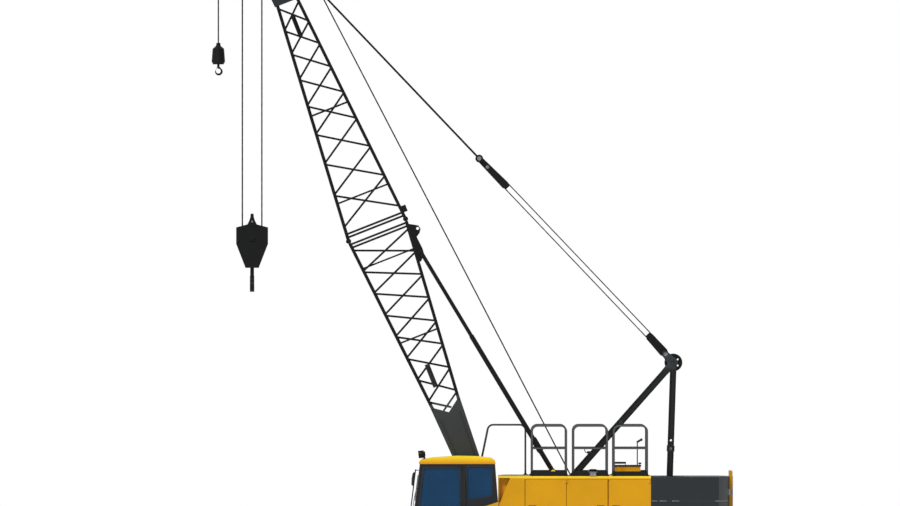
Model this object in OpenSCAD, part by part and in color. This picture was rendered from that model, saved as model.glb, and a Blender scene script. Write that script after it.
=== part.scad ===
// Crawler crane with a two-section lattice boom, 55 tonne class.
// +X points forward, +Y to the crane's left (the cab side), +Z up.
// The origin lies on the ground under the slewing axis.

/* [Crawlers] */
// Length of a crawler over its end shoes
track_len = 5450; // [4800:50:6200]
// Height of a crawler over its shoes
track_h = 1020; // [940:10:1100]
// Distance between the two crawlers' centre lines
track_gauge = 3540; // [3400:20:4200]
// Width of a track shoe
shoe_w = 760; // [700:10:900]
// Number of shoes in one track
shoe_n = 60; // [52:1:64]
// Thickness of a shoe's plate
shoe_t = 40; // [30:1:50]
// Height of the bars that stand up from a shoe
grouser_h = 22; // [10:1:30]
// Thickness of the link chain under the shoes
link_t = 84; // [70:1:100]
// Width of the link chain
link_w = 250; // [200:10:280]
// Width of the roller frame's beam
beam_w = 360; // [340:10:420]
// Radius of a lower track roller
roller_r = 105; // [90:1:115]
// Number of lower rollers on one side
roller_n = 9; // [7:1:9]
// Radius of a carrier roller
carrier_r = 60; // [50:1:64]

/* [Slewing gear] */
// Top of the carbody, where the slewing ring lies
ring_z = 1060; // [1040:5:1100]
// Height of the slewing ring
ring_h = 100; // [80:5:120]
// Outer radius of the slewing ring
ring_r = 820; // [740:10:860]
// Radius of the ring's running face
race_r = 680; // [620:10:700]

/* [Upper structure] */
// Width over the two machinery houses
house_w = 3100; // [3060:10:3200]
// Width of the open channel between the houses
channel_w = 1240; // [1220:10:1260]
// Front end of the houses
house_front = 850; // [840:2:852]
// Rear end of the houses
house_rear = -2317; // [-2330:1:-2310]
// Top of the houses, which is the deck
deck_z = 2906; // [2880:2:2940]
// Thickness of house and cab walls and doors
wall = 40; // [30:2:44]
// Thickness of the floor plate of the revolving frame
floor_t = 70; // [50:5:80]
// Width of one house door
door_w = 860; // [840:5:864]
// Clear gap around each door
door_gap = 6; // [5:0.5:8]
// Thickness of a web of the revolving frame
web_t = 40; // [30:2:46]

/* [Counterweight] */
// Tail radius of the counterweight
tail_r = 4040; // [3980:10:4100]
// Top of the counterweight
weight_top = 2890; // [2860:5:2900]
// Seam between the two slabs
weight_seam = 2390; // [2300:10:2450]
// Underside of the counterweight
weight_bottom = 1290; // [1240:10:1340]

/* [Cab] */
// Outer width of the cab
cab_w = 980; // [940:10:1000]
// Underside of the cab
cab_z = 1330; // [1300:5:1360]
// Height of the cab's side under its roof
cab_side_h = 1830; // [1780:10:1860]
// Height of the crowned roof
cab_roof_h = 165; // [120:5:180]

/* [Boom] */
// Boom angle above level
boom_angle = 68.5; // [60:0.5:75]
// Length of each boom section
section_l = 6500; // [6300:50:6700]
// Depth of the boom between chord centres at the joint
boom_d = 1275; // [1200:5:1320]
// Width of the boom between chord centres
boom_w = 1060; // [1040:2:1066]
// Depth between chord centres at the head plates
head_d = 440; // [400:5:480]
// Width between chord centres at the head plates
head_w = 640; // [600:5:660]
// Radius of a chord tube
chord_r = 33; // [30:1:40]
// Radius of a lacing tube
lacing_r = 21; // [16:1:26]
// Radius of the tubes of the frames inside the boom
diaphragm_r = 17; // [14:1:19]
// Distance between two lacing tubes' ends on a chord
lacing_gap = 28; // [26:1:40]
// Radius of the boom foot pin
foot_pin_r = 60; // [45:1:70]

/* [Ropes and sheaves] */
// Radius of the hoist rope
rope_r = 14; // [8:0.5:16]
// Radius of the derrick rope
stay_rope_r = 11; // [7:0.5:12]
// Rope radius of the head and block sheaves
sheave_r = 203; // [180:1:215]
// Width of one sheave
sheave_w = 60; // [50:1:64]

/* [Handrails] */
// Radius of a handrail tube
rail_r = 20; // [16:1:24]
// Height of the top rail above the deck
rail_h = 1045; // [1000:5:1100]

/* [Hidden] */
$fn = 48;

// Clearances
seat = 0.3;      // between pieces that rest on each other
run = 0.5;       // at pins and running faces
clear = 8;       // between pieces that move past each other

// Colours
yellow = "#d59d1e";
grey = "#363b3f";
dark = "#2a2d30";
steel = "#8b8f92";
glass = "#28466480";

// Places in the crane's frame, worked out from the sizes above
pitch_r = track_h / 2 - grouser_h - shoe_t;     // where shoes lie on the links
wheel_r = (pitch_r - link_t) * cos(180 / 32) - seat;
half_run = (track_len - track_h) / 2;           // straight part of the loop, each way
beam_side = beam_w / 2;
yoke_t = 30;                                    // plates that hold rollers and wheels
beam_z = [405, 735];
floor_z = ring_z + seat + ring_h;
base_z = floor_z + floor_t;                     // where houses and webs stand
half_house = house_w / 2;
half_channel = channel_w / 2;
door_z = [1330, deck_z - 66];
door_seams = [for (i = [0:3]) house_rear + i * (door_w + 17)];
web_y = half_channel - 80;                      // inner face of a web
web_rear = -2960;

foot = [990, 0, 1970];                          // boom foot pin
foot_plate_t = 36;
head_s = 2 * section_l;                         // boom point, along the boom
pendant_at = [head_s, 132];                     // pendant pin, along and behind the boom axis
main_at = [head_s, -239];                       // main head sheave
aux_at = [head_s + 483, -586];                  // sheave of the auxiliary line
guide_at = [head_s + 16, 355];                  // sheave that guides the hoist lines
brace_at = [section_l - 750, 680];              // backstop's pin on the boom
drum = [-750, 0, 2300];                         // hoist drums
drum_r = 200;
luff_drum = [-1780, 0, 2140];                   // drum of the derrick rope
gantry_head = [-2800, 0, 5260];
stay_pin = [-2637.5, 0, 5430];                  // lower spreader's pin
brace_foot = [-290, 0, deck_z + 79];            // backstop's foot pin
brace_y = 680;                                  // lane of the backstops
// Outline of the bracket on the boom, from the backstop's pin
brace_bracket = [[645, -45], [524, 158], [441, 172], [371, 120], [317, 35], [50, 60], [-60, 50], [-190, -60], [-190, -150]];
brace_eye_r = 50;                               // eye at the rod's end
brace_cheek_r = 48;                             // rounding of the foot bracket's cheeks
rear_leg_foot = [-2690, 0, 1850];
front_leg_foot = [85, 0, 2000];
block_z = 7860;                                 // axle of the hook block's sheaves
ball_z = 11856;                                 // shoulder of the ball weight
ball_neck = 64;                                 // height of its rope socket
hook_tip_z = 6725;
aux_tip_z = 11235;

function on_boom(p) = foot + [
    p[0] * cos(boom_angle) - p[1] * sin(boom_angle), 0,
    p[0] * sin(boom_angle) + p[1] * cos(boom_angle)];
function pitch(a, b) = atan2(b.z - a.z, b.x - a.x);
function mix(a, b, t) = a + (b - a) * t;
function arc(r, from, to, n, at = [0, 0]) =
    [for (i = [0:n]) at + r * [cos(mix(from, to, i / n)), sin(mix(from, to, i / n))]];

main_x = on_boom(main_at).x;
aux_x = on_boom(aux_at).x + sheave_r;
stay_pitch = pitch(stay_pin, on_boom(pendant_at));
stay_l = norm(on_boom(pendant_at) - stay_pin);
brace_pitch = pitch(brace_foot, on_boom(brace_at));
brace_l = norm(on_boom(brace_at) - brace_foot);
hoist_pitch = pitch(drum, on_boom(guide_at));
hoist_l = norm(on_boom(guide_at) - drum);

// Shapes that several pieces use

// Copies its children on both sides of the centre plane
module both_sides() {
    children();
    mirror([0, 1, 0]) children();
}

// Puts its children in the boom's frame: X along the boom, Z to its rear
module boom_frame() {
    translate(foot) rotate([0, -boom_angle, 0]) children();
}

// Puts its children in a frame at a pin, with X turned up by an angle
module turned(at, angle) {
    translate(at) rotate([0, -angle, 0]) children();
}

// Round bar between two points
module bar(a, b, r) {
    v = b - a;
    translate(a) rotate([0, acos(v.z / norm(v)), atan2(v.y, v.x)]) cylinder(r = r, h = norm(v));
}

// Outline of X and Z points, as a plate from y to y + t
module plate(points, y, t) {
    translate([0, y + t, 0]) rotate([90, 0, 0]) linear_extrude(t) polygon(points);
}

// Pin or boss across the crane, centred on a point, from y to y + t
module cross_pin(at, r, y, t) {
    translate([at.x, y, at.z]) rotate([-90, 0, 0]) cylinder(r = r, h = t);
}

// Grooved sheave across the crane, centred on y, for a rope whose centre runs at radius r
module sheave(at, r, y, bore, rope = rope_r, holes = 5) {
    w = sheave_w;
    groove = r - rope - seat;
    rim = groove + 2 * rope + 4;
    hub = bore + 30;
    web = (groove - 20 + hub) / 2;
    translate([at.x, y, at.z]) rotate([-90, 0, 0]) difference() {
        rotate_extrude() polygon(concat(
            [[bore, -w / 2], [hub, -w / 2]],
            holes > 0 ? [[hub, -w / 4], [groove - 20, -w / 4], [groove - 20, -w / 2]] : [],
            [[rim, -w / 2], [rim, -w / 2 + 6], [groove, -rope * 0.7], [groove, rope * 0.7], [rim, w / 2 - 6], [rim, w / 2]],
            holes > 0 ? [[groove - 20, w / 2], [groove - 20, w / 4], [hub, w / 4]] : [],
            [[hub, w / 2], [bore, w / 2]]));
        if (holes > 0) for (i = [0:holes - 1]) rotate(i * 360 / holes)
            translate([web, 0, -w]) cylinder(r = (groove - 20 - hub) / 3, h = 2 * w);
    }
}

// Hook in its own plane: eye of the bowl at the origin, shank upwards, tip to the +X side
module hook_outline(bowl_r, neck_w) {
    thick = bowl_r * 0.9;
    polygon(concat(
        [[neck_w / 2, bowl_r * 2.5], [neck_w / 2, bowl_r * 1.6]],
        arc(bowl_r, 70, 390, 16),
        [for (i = [0:12]) let (a = mix(28, -230, i / 12)) (bowl_r + thick * sin(mix(8, 140, i / 12))) * [cos(a), sin(a)]],
        [[-neck_w / 2, bowl_r * 1.9], [-neck_w / 2, bowl_r * 2.5]]));
}

// Crawlers

// Point on the loop at distance u from the middle of the top run, h outside the shoe seat
function loop_point(u, h) =
    let (bend = PI * pitch_r, whole = 4 * half_run + 2 * bend, v = (u % whole + whole) % whole)
    v < half_run ? [v, pitch_r + h]
    : v < half_run + bend ? let (a = 90 - (v - half_run) / bend * 180)
        [half_run, 0] + (pitch_r + h) * [cos(a), sin(a)]
    : v < 3 * half_run + bend ? [2 * half_run + bend - v, -pitch_r - h]
    : v < 3 * half_run + 2 * bend ? let (a = -90 - (v - 3 * half_run - bend) / bend * 180)
        [-half_run, 0] + (pitch_r + h) * [cos(a), sin(a)]
    : [v - whole, pitch_r + h];

// Closed loop outline at one distance inside the shoe seat
function loop_outline(inset) = concat(
    arc(pitch_r - inset, 90, -90, 16, [half_run, 0]),
    arc(pitch_r - inset, 270, 90, 16, [-half_run, 0]));

module loop_band(outer, inner, w) {
    plate_points = concat(outer, inner);
    translate([0, w / 2, track_h / 2]) rotate([90, 0, 0]) linear_extrude(w) polygon(plate_points, [
        [for (i = [0:len(outer) - 1]) i],
        [for (i = [0:len(inner) - 1]) len(outer) + i]]);
}

module track(side) {
    shoe_pitch = (4 * half_run + 2 * PI * pitch_r) / shoe_n;
    profile = [[-0.46, 0], [-0.44, shoe_t], [-0.3, shoe_t], [-0.24, shoe_t + grouser_h],
        [0.24, shoe_t + grouser_h], [0.3, shoe_t], [0.44, shoe_t], [0.46, 0]];
    shoes = [for (i = [0:shoe_n - 1], p = profile) loop_point((i + 0.5 + p[0]) * shoe_pitch, p[1])];
    color(dark) translate([0, side * track_gauge / 2, 0]) {
        loop_band(shoes, loop_outline(6), shoe_w);
        loop_band(loop_outline(2), loop_outline(link_t), link_w);
    }
}

module track_wheels(side) {
    lower_span = 2 * half_run - 2 * wheel_r - 2 * roller_r - 60;
    axle = beam_side - yoke_t - seat;
    teeth = 11;
    // Column 0: radius, column 1: share of a tooth's pitch
    tooth = [[wheel_r - 46, -0.34], [wheel_r - 46, -0.22], [wheel_r - 1, -0.13], [wheel_r - 1, 0.13],
        [wheel_r - 46, 0.22], [wheel_r - 46, 0.34]];
    lower_z = track_h / 2 - pitch_r + link_t + seat + roller_r;
    upper_z = track_h / 2 + (pitch_r - link_t) - seat - carrier_r;
    color(grey) translate([0, side * track_gauge / 2, 0]) {
        // Idler at the front
        translate([half_run, 0, track_h / 2]) rotate([90, 0, 0]) difference() {
            union() {
                cylinder(r = wheel_r, h = link_w, center = true);
                cylinder(r = 110, h = 2 * axle, center = true);
            }
            for (end = [-1, 1]) translate([0, 0, end * link_w / 2]) difference() {
                cylinder(r = wheel_r - 70, h = 120, center = true);
                cylinder(r = 140, h = 130, center = true);
            }
        }
        // Sprocket at the rear, with lugs that reach between the links
        translate([-half_run, 0, track_h / 2]) rotate([90, 0, 0]) union() {
            linear_extrude(link_w, center = true) polygon([for (i = [0:teeth - 1], p = tooth)
                p[0] * [cos((i + p[1]) * 360 / teeth), sin((i + p[1]) * 360 / teeth)]]);
            cylinder(r = 190, h = 2 * axle, center = true);
        }
        // Lower rollers
        for (i = [0:roller_n - 1]) translate([-lower_span / 2 + i * lower_span / (roller_n - 1), 0, lower_z])
            rotate([90, 0, 0]) union() {
                cylinder(r = roller_r, h = link_w - 40, center = true);
                cylinder(r = 34, h = 2 * axle, center = true);
            }
        // Carrier rollers
        for (x = [-900, 900]) translate([x, 0, upper_z]) rotate([90, 0, 0]) union() {
            cylinder(r = carrier_r, h = link_w - 40, center = true);
            cylinder(r = 26, h = 2 * axle, center = true);
        }
    }
}

module track_frame(side) {
    skirt = [[-half_run + 60, 300], [-half_run + 500, 205], [half_run - 500, 205], [half_run - 60, 330]];
    end_r = 150;
    color(grey) translate([0, side * track_gauge / 2, 0]) {
        // Beam between the wheels
        translate([0, beam_side, 0]) rotate([90, 0, 0]) linear_extrude(beam_w) polygon([
            [-half_run + wheel_r + 60, beam_z[0]], [half_run - wheel_r - 60, beam_z[0]],
            [half_run - wheel_r - 60, beam_z[1] - 70], [half_run - wheel_r - 240, beam_z[1]],
            [-half_run + wheel_r + 240, beam_z[1]], [-half_run + wheel_r + 60, beam_z[1] - 70]]);
        // Side plates, which hold the axles of all wheels
        for (y = [-beam_side, beam_side - yoke_t]) union() {
            plate(concat(
                arc(end_r, 90, -60, 6, [half_run, track_h / 2]),
                [[half_run - 300, 205], [-half_run + 300, 205]],
                arc(end_r + 60, -120, -270, 6, [-half_run, track_h / 2]),
                [[-half_run + 420, beam_z[1]], [half_run - 420, beam_z[1]]]), y, yoke_t);
            for (x = [-900, 900]) plate([
                [x - 70, beam_z[1] - 5], [x + 70, beam_z[1] - 5], [x + 40, beam_z[1] + 120], [x - 40, beam_z[1] + 120]],
                y, yoke_t);
        }
        // Final drive, on the inner side of the sprocket
        translate([-half_run, -side * beam_side, track_h / 2]) rotate([side * 90, 0, 0]) union() {
            cylinder(r = 190, h = 150);
            translate([0, 0, 140]) cylinder(r = 120, h = 130);
        }
    }
}

module carbody() {
    beam_x = 780;
    beam_half = 190;
    reach = track_gauge / 2 - beam_side - seat;
    color(grey) union() {
        // Cross beams, from one roller frame to the other
        for (x = [-beam_x, beam_x]) translate([x, 0, 0]) rotate([90, 0, 90])
            translate([0, 0, -beam_half]) linear_extrude(2 * beam_half) polygon(mirrored_y([
                [900, 400], [reach, 430], [reach, 720], [900, 880]]));
        // Centre body
        translate([-beam_x - 60, -720, 430]) cube([2 * beam_x + 120, 1440, 430]);
        translate([0, 0, 420]) difference() {
            cylinder(r = 860, h = ring_z - 420 - seat);
            translate([0, 0, 300]) cylinder(r = race_r - 160, h = 600);
        }
        // Inner race of the slewing ring
        difference() {
            translate([0, 0, ring_z - 40]) cylinder(r = race_r, h = ring_h + 30);
            translate([0, 0, ring_z - 60]) cylinder(r = race_r - 110, h = ring_h + 100);
        }
    }
}
// Points with Y in the first place, closed by their mirror image
function mirrored_y(points) = concat(points, [for (i = [len(points) - 1:-1:0]) [-points[i][0], points[i][1]]]);

// Upper structure

module slew_ring() {
    color(steel) translate([0, 0, ring_z + seat]) difference() {
        cylinder(r = ring_r, h = ring_h - seat);
        translate([0, 0, -1]) cylinder(r = race_r + run, h = ring_h + 2);
    }
}

module revolving_frame() {
    ear_t = 36;
    ear_y = web_y - foot_plate_t - 2 * clear - ear_t;
    color(grey) union() {
        // Floor plate, with the cab's deck at the front left
        translate([0, 0, floor_z]) linear_extrude(floor_t) polygon([
            [web_rear, -half_channel + 30], [house_rear, -half_channel + 30], [house_rear, -half_house],
            [1500, -half_house], [1500, -half_channel], [1250, -half_channel + 60], [1250, half_channel - 60],
            [1500, half_channel], [2520, half_channel], [2520, half_channel + cab_w],
            [house_front, half_channel + cab_w], [house_front, half_house], [house_rear, half_house],
            [house_rear, half_channel - 30], [web_rear, half_channel - 30]]);
        both_sides() {
            // Webs from the boom foot to the gantry's rear legs
            plate(concat(
                [[web_rear, base_z - 5], [1240, base_z - 5]],
                arc(170, -20, 140, 6, [foot.x, foot.z]),
                [[620, 1830], [330, 2130], [-60, 2180], [-330, 2470], [-1150, 2470], [-1400, 2330],
                [-2150, 2330], [-2450, 2030], [web_rear, 2000]]), web_y, web_t);
            // Inner ear of the boom foot bracket
            plate(concat([[700, base_z - 5], [1240, base_z - 5]], arc(150, -20, 160, 6, [foot.x, foot.z])), ear_y, ear_t);
            // Boom foot pin
            cross_pin(foot, foot_pin_r, ear_y - 25, web_y + web_t + 30 - (ear_y - 25));
            // Pins of the gantry's legs
            cross_pin(front_leg_foot, 40, web_y - 90, 100);
            cross_pin(rear_leg_foot, 40, web_y - 90, 100);
        }
        // Mounts under the cab
        for (x = [1020, 2180], y = [130, cab_w - 130]) translate([x, cab_y + y, base_z - 5])
            cylinder(r = 70, h = cab_z - seat - base_z + 5);
        // Cross plates
        for (x = [-1330, -250, 560]) translate([x, -web_y - 10, base_z - 5]) cube([30, 2 * web_y + 20, 400]);
    }
}

// House on the +Y side, without its doors
module house() {
    r = 45;
    inner = half_channel + wall;
    front_opening = door_seams[3] - 10;
    color(yellow) difference() {
        rotate([90, 0, 90]) translate([0, 0, house_rear]) linear_extrude(house_front - house_rear) polygon(concat(
            [[half_channel, base_z + seat], [half_house, base_z + seat]],
            arc(r, 0, 90, 6, [half_house - r, deck_z - r]),
            [[half_channel, deck_z]]));
        // Inside, with a front bay that stays closed
        translate([house_rear + wall, inner, base_z + seat + wall])
            cube([front_opening - house_rear - 2 * wall + 10, half_house - wall - inner, deck_z - base_z - 2 * wall - 20]);
        // Door openings
        translate([house_rear + 17, half_house - wall - 60, door_z[0]])
            cube([front_opening - house_rear - 17, wall + 100, door_z[1] - door_z[0]]);
        // Recess beside the cab's rear corner
        translate([0, half_house + 1, 0]) rotate([90, 0, 0]) linear_extrude(150)
            polygon([[house_front - 246, deck_z - 34], [house_front - 14, deck_z - 34], [house_front - 14, deck_z - 552],
                [house_front - 36, deck_z - 552]]);
    }
    // Door posts, behind the seams
    color(yellow) for (i = [1, 2]) translate([door_seams[i] - 30, half_house - wall - 66, door_z[0] - 60])
        cube([60, 58, door_z[1] - door_z[0] + 90]);
    color(yellow) house_pintles();
    // Bracket of the backstop's foot
    color(yellow) union() {
        for (y = [brace_y - 25 - clear - 14, brace_y + 25 + clear]) plate(concat(
            [[brace_foot.x - 90, deck_z - 5], [brace_foot.x + 90, deck_z - 5]],
            arc(brace_cheek_r, 0, 180, 6, [brace_foot.x, brace_foot.z])), y, 14);
        cross_pin(brace_foot, 30, brace_y - 25 - clear - 20, 50 + 2 * clear + 40);
    }
}

// Hinge lines of the three doors: column 0 is the hinge's X, column 1 the way the leaf runs
door_hinges = [[door_seams[2] + 14, 1], [door_seams[2] - 14, -1], [door_seams[0] + 28, 1]];
hinge_y = half_house + 14;
hinge_r = 13;
pintle_r = 6;
barrel_h = 70;

module house_pintles() {
    for (h = door_hinges, top = [0, 1]) {
        z = top ? door_z[1] : door_z[0];
        way = top ? 1 : -1;
        union() {
            translate([h[0] - hinge_r, half_house - 20, z + (top ? 1 : -15)]) cube([2 * hinge_r, hinge_y + 10 - half_house + 20, 14]);
            translate([h[0], hinge_y, z + way * 8 - way * (barrel_h / 2)]) cylinder(r = pintle_r, h = barrel_h - 4, center = true);
        }
    }
}

// Door leaf on the +Y side with its two hinge barrels
module house_door(i) {
    hinge = door_hinges[i];
    bottom = door_z[0] + door_gap;
    top = door_z[1] - door_gap;
    leaf = door_w - 14;
    edge = 8;                       // from hinge line to the leaf's edge
    color(yellow) difference() {
        union() {
            translate([hinge[1] > 0 ? hinge[0] - edge : hinge[0] + edge - leaf, half_house - wall, bottom])
                cube([leaf, wall, top - bottom]);
            for (z = [bottom, top - barrel_h]) {
                translate([hinge[0], hinge_y, z]) cylinder(r = hinge_r, h = barrel_h);
                translate([hinge[1] > 0 ? hinge[0] : hinge[0] - 30, half_house - 5, z]) cube([30, 12, barrel_h]);
            }
            // Latch, near the free edge
            translate([hinge[0] + hinge[1] * (leaf - 150) - 83, half_house - 2, 2210]) cube([166, 14, 90]);
        }
        for (z = [bottom - 1, top - barrel_h - 1])
            translate([hinge[0], hinge_y, z]) cylinder(r = pintle_r + run, h = barrel_h + 2);
        translate([hinge[0] + hinge[1] * (leaf - 150) - 60, half_house + 6, 2228]) cube([120, 20, 54]);
    }
}

module counterweight(z0, z1) {
    front = house_rear - seat;
    lug_y = 760;
    lug_x = -sqrt(tail_r * tail_r - lug_y * lug_y);
    color(grey) difference() {
        intersection() {
            translate([0, 0, z0]) cylinder(r = tail_r, h = z1 - z0, $fn = 96);
            translate([-tail_r - 10, -half_house, z0]) cube([tail_r + 10 + front, 2 * half_house, z1 - z0]);
        }
        // Space for the rear end of the revolving frame
        translate([-3020, -half_channel, z0 - 1]) cube([3020 + front + 10, 2 * half_channel, z1 - z0 + 2]);
    }
    // Lifting lugs on the tail
    color(yellow) both_sides() difference() {
        translate([lug_x - 55, lug_y - 45, z1 - 265]) cube([100, 90, 380]);
        translate([0, 0, z1]) cylinder(r = tail_r + seat, h = 400, $fn = 96);
    }
}

engine_size = [1350, 640, 900];
engine_rear = house_rear + 417;

module engine() {
    color(dark) translate([engine_rear, -half_house + 190, base_z + wall + 2 * seat]) cube(engine_size);
}

step_z = base_z + seat + 640;       // step cut in the top of the fuel tank

module fuel_tank() {
    color(yellow) translate([house_front + seat, -half_house, base_z + seat]) difference() {
        cube([1500 - house_front - 10, half_house - half_channel, 1000]);
        translate([380, -1, step_z - base_z - seat]) cube([400, half_house - half_channel + 2, 400]);
    }
}

module winches() {
    flange_r = 330;
    color(grey) both_sides() union() {
        cross_pin(drum, drum_r - rope_r - seat, 40, web_y - seat - 40);
        cross_pin(drum, flange_r, 30, 20);
        cross_pin(drum, flange_r, 440, 30);
    }
    color(grey) union() {
        cross_pin(luff_drum, 160, -web_y + seat, 2 * (web_y - seat));
        for (y = [-300, 270]) cross_pin(luff_drum, 270, y, 30);
    }
}

// Gantry

gantry_ear_drop = 90;           // ears of the spreader's pin reach this far below the gantry head

// Side view of a front leg, grown by a clearance
function front_leg_side(l, grow = 0) = concat(
    arc(85 + grow, 110, 250, 6), [[300, -65 - grow], [l - 300, -65 - grow]],
    arc(85 + grow, -70, 70, 6, [l, 0]), [[l - 300, 65 + grow], [300, 65 + grow]]);

module gantry_front_legs() {
    a = front_leg_foot;
    b = gantry_head;
    leg_w = 60;
    y = web_y - seat - leg_w;
    angle = pitch(a, b);
    l = norm(b - a);
    color(grey) union() {
        both_sides() turned(a, angle) difference() {
            plate(front_leg_side(l), y, leg_w);
            cross_pin([0, 0, 0], 40 + run, y - 1, leg_w + 2);
        }
        // Head shaft, cross tie and the ears of the spreader's pin
        cross_pin(gantry_head, 50, -y - 5, 2 * y + 10);
        turned(a, angle) cross_pin([l * 0.62, 0, 0], 50, -y - 5, 2 * y + 10);
        both_sides() plate([
            [gantry_head.x - 60, gantry_head.z - gantry_ear_drop], [gantry_head.x + 60, gantry_head.z - gantry_ear_drop],
            [stay_pin.x + 70, stay_pin.z - 30], [stay_pin.x + 60, stay_pin.z + 60], [stay_pin.x - 30, stay_pin.z + 60],
            [gantry_head.x - 70, gantry_head.z + 60]], y - 36, 40);
        cross_pin(stay_pin, 30, -y + 2, 2 * y - 4);
    }
}

module gantry_rear_legs() {
    a = rear_leg_foot;
    b = gantry_head;
    leg_w = 60;
    y = web_y - seat - leg_w;
    angle = pitch(a, b);
    l = norm(b - a);
    color(grey) both_sides() difference() {
        turned(a, angle) difference() {
            union() {
                plate(concat(arc(70, 110, 250, 6), [[220, -62], [l, -62], [l, 62], [220, 62]]), y, leg_w);
                // Collar of the telescoping part
                translate([1560, y - 12, -76]) cube([120, leg_w + 12, 152]);
            }
            cross_pin([0, 0, 0], 40 + run, y - 1, leg_w + 2);
            cross_pin([1790, 0, 0], 26, y - 20, leg_w + 40);
        }
        // Ends under the front leg and the ears of the gantry head
        turned(front_leg_foot, pitch(front_leg_foot, b)) plate(front_leg_side(norm(b - front_leg_foot), seat), y - 20, leg_w + 40);
        translate([b.x - 200, y - 20, b.z - gantry_ear_drop - seat]) cube([400, leg_w + 40, 400]);
    }
}

module gantry_sheaves() {
    color(dark) both_sides() for (y = [60, 180])
        sheave(gantry_head, 170, y, 50 + run, stay_rope_r);
}

// Cab

cab_y = half_channel + seat;
// Side view of the cab below its roof: X and Z, anticlockwise from the rear foot
cab_side = [[860, cab_z], [2330, cab_z], [2560, cab_z + 330], [2590, cab_z + 950],
    [2482, cab_z + cab_side_h], [917, cab_z + cab_side_h], [858, cab_z + 1060]];
door_front = 2440;
door_rear = 1610;
cab_sill = cab_z + 90;
cab_lintel = cab_z + cab_side_h - 45;
cab_door_side = [[door_rear, cab_sill], [2336, cab_sill], [2502, cab_sill + 240], [2538, cab_z + 950],
    [2438, cab_lintel], [door_rear, cab_lintel]];
cab_door_window = [[door_rear + 30, cab_z + 865], [2482, cab_z + 586], [2504, cab_z + 955], [2410, cab_lintel - 28],
    [door_rear + 30, cab_lintel - 28]];
rear_window = [[968, cab_z + 1190], [1020, cab_z + 1150], [1510, cab_z + 1060], [1510, cab_lintel], [968, cab_lintel]];
right_window = [[968, cab_z + 1190], [1020, cab_z + 1150], [1510, cab_z + 1060], [2504, cab_z + 955], [2410, cab_lintel],
    [968, cab_lintel]];
screen_sill = cab_z + 760;      // windscreen's lower edge
screen_edge = 60;               // from the cab's sides to the windscreen
rear_sill = cab_z + 1190;
rear_lintel = cab_z + cab_side_h - 60;
rear_edge = 90;
pane_t = 8;
pane_d = 16;                    // from the cab's outer face to a pane

// X at a height on the edge of the cab's side between two of its points
function edge_x(i, j, z) = mix(cab_side[i].x, cab_side[j].x, (z - cab_side[i].y) / (cab_side[j].y - cab_side[i].y));

module cab_shell() {
    y1 = cab_w - 2 * wall;
    color(yellow) difference() {
        plate(cab_side, cab_y, cab_w);
        // Inside
        plate([[862 + wall, cab_z + wall], [2310, cab_z + wall], [2522, cab_z + 345], [2548, cab_z + 950],
            [2445, cab_z + cab_side_h + 1], [955, cab_z + cab_side_h + 1], [898, cab_z + 1060]], cab_y + wall, y1);
        // Doorway
        plate([[door_rear - door_gap, cab_sill - door_gap], [2339, cab_sill - door_gap],
            [2508.5, cab_sill + 239], [2545, cab_z + 951], [2444, cab_lintel + door_gap],
            [door_rear - door_gap, cab_lintel + door_gap]], cab_y + cab_w - wall - 1, wall + 2);
        // Rear side window on the left, the long window on the right
        plate(rear_window, cab_y + cab_w - wall - 1, wall + 2);
        plate(right_window, cab_y - 1, wall + 2);
        // Windscreen and rear window
        plate([[2470, screen_sill], [2640, screen_sill], [2640, cab_z + 950], [2600, cab_lintel], [2400, cab_lintel]],
            cab_y + screen_edge, cab_w - 2 * screen_edge);
        translate([800, cab_y + rear_edge, rear_sill]) cube([180, cab_w - 2 * rear_edge, rear_lintel - rear_sill]);
    }
    color(yellow) cab_pintles();
}

cab_hinge_x = door_rear + 10;
cab_hinge_y = cab_y + cab_w + 14;
module cab_pintles() {
    for (top = [0, 1]) {
        z = top ? cab_lintel : cab_sill;
        way = top ? 1 : -1;
        union() {
            translate([cab_hinge_x - hinge_r, cab_y + cab_w - 20, z + (top ? 7 : -21)]) cube([2 * hinge_r, 44, 14]);
            translate([cab_hinge_x, cab_hinge_y, z + way * 14 - way * (barrel_h / 2)]) cylinder(r = pintle_r, h = barrel_h - 4, center = true);
        }
    }
}

module cab_roof() {
    z = cab_z + cab_side_h + seat;
    color(yellow) translate([0, cab_y + cab_w, 0]) rotate([90, 0, 0]) linear_extrude(cab_w) polygon([
        [905, z], [2500, z], [2500, z + 40], [2440, z + 95], [2200, z + 135], [1700, z + cab_roof_h],
        [1300, z + cab_roof_h - 8], [1000, z + 125], [920, z + 70]]);
}

module cab_glass() {
    rear = len(cab_side) - 1;
    color(glass) {
        plate(rear_window, cab_y + cab_w - pane_d - pane_t, pane_t);
        plate(right_window, cab_y + pane_d, pane_t);
        // Windscreen, bent where the cab's front leans back
        plate([for (out = [1, 0], i = [0:2]) let (z = [screen_sill, cab_z + 950, cab_lintel][out == 1 ? i : 2 - i])
            [(i == (out == 1 ? 0 : 2) ? edge_x(2, 3, z) : edge_x(3, 4, z)) - pane_d - (out == 1 ? 0 : pane_t), z]],
            cab_y + screen_edge, cab_w - 2 * screen_edge);
        // Rear pane
        plate([for (out = [1, 0], i = [0:1]) let (z = [rear_sill, rear_lintel][out == 1 ? i : 1 - i])
            [edge_x(rear, rear - 1, z) + pane_d + (out == 1 ? 0 : pane_t), z]],
            cab_y + rear_edge, cab_w - 2 * rear_edge);
    }
}

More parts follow.
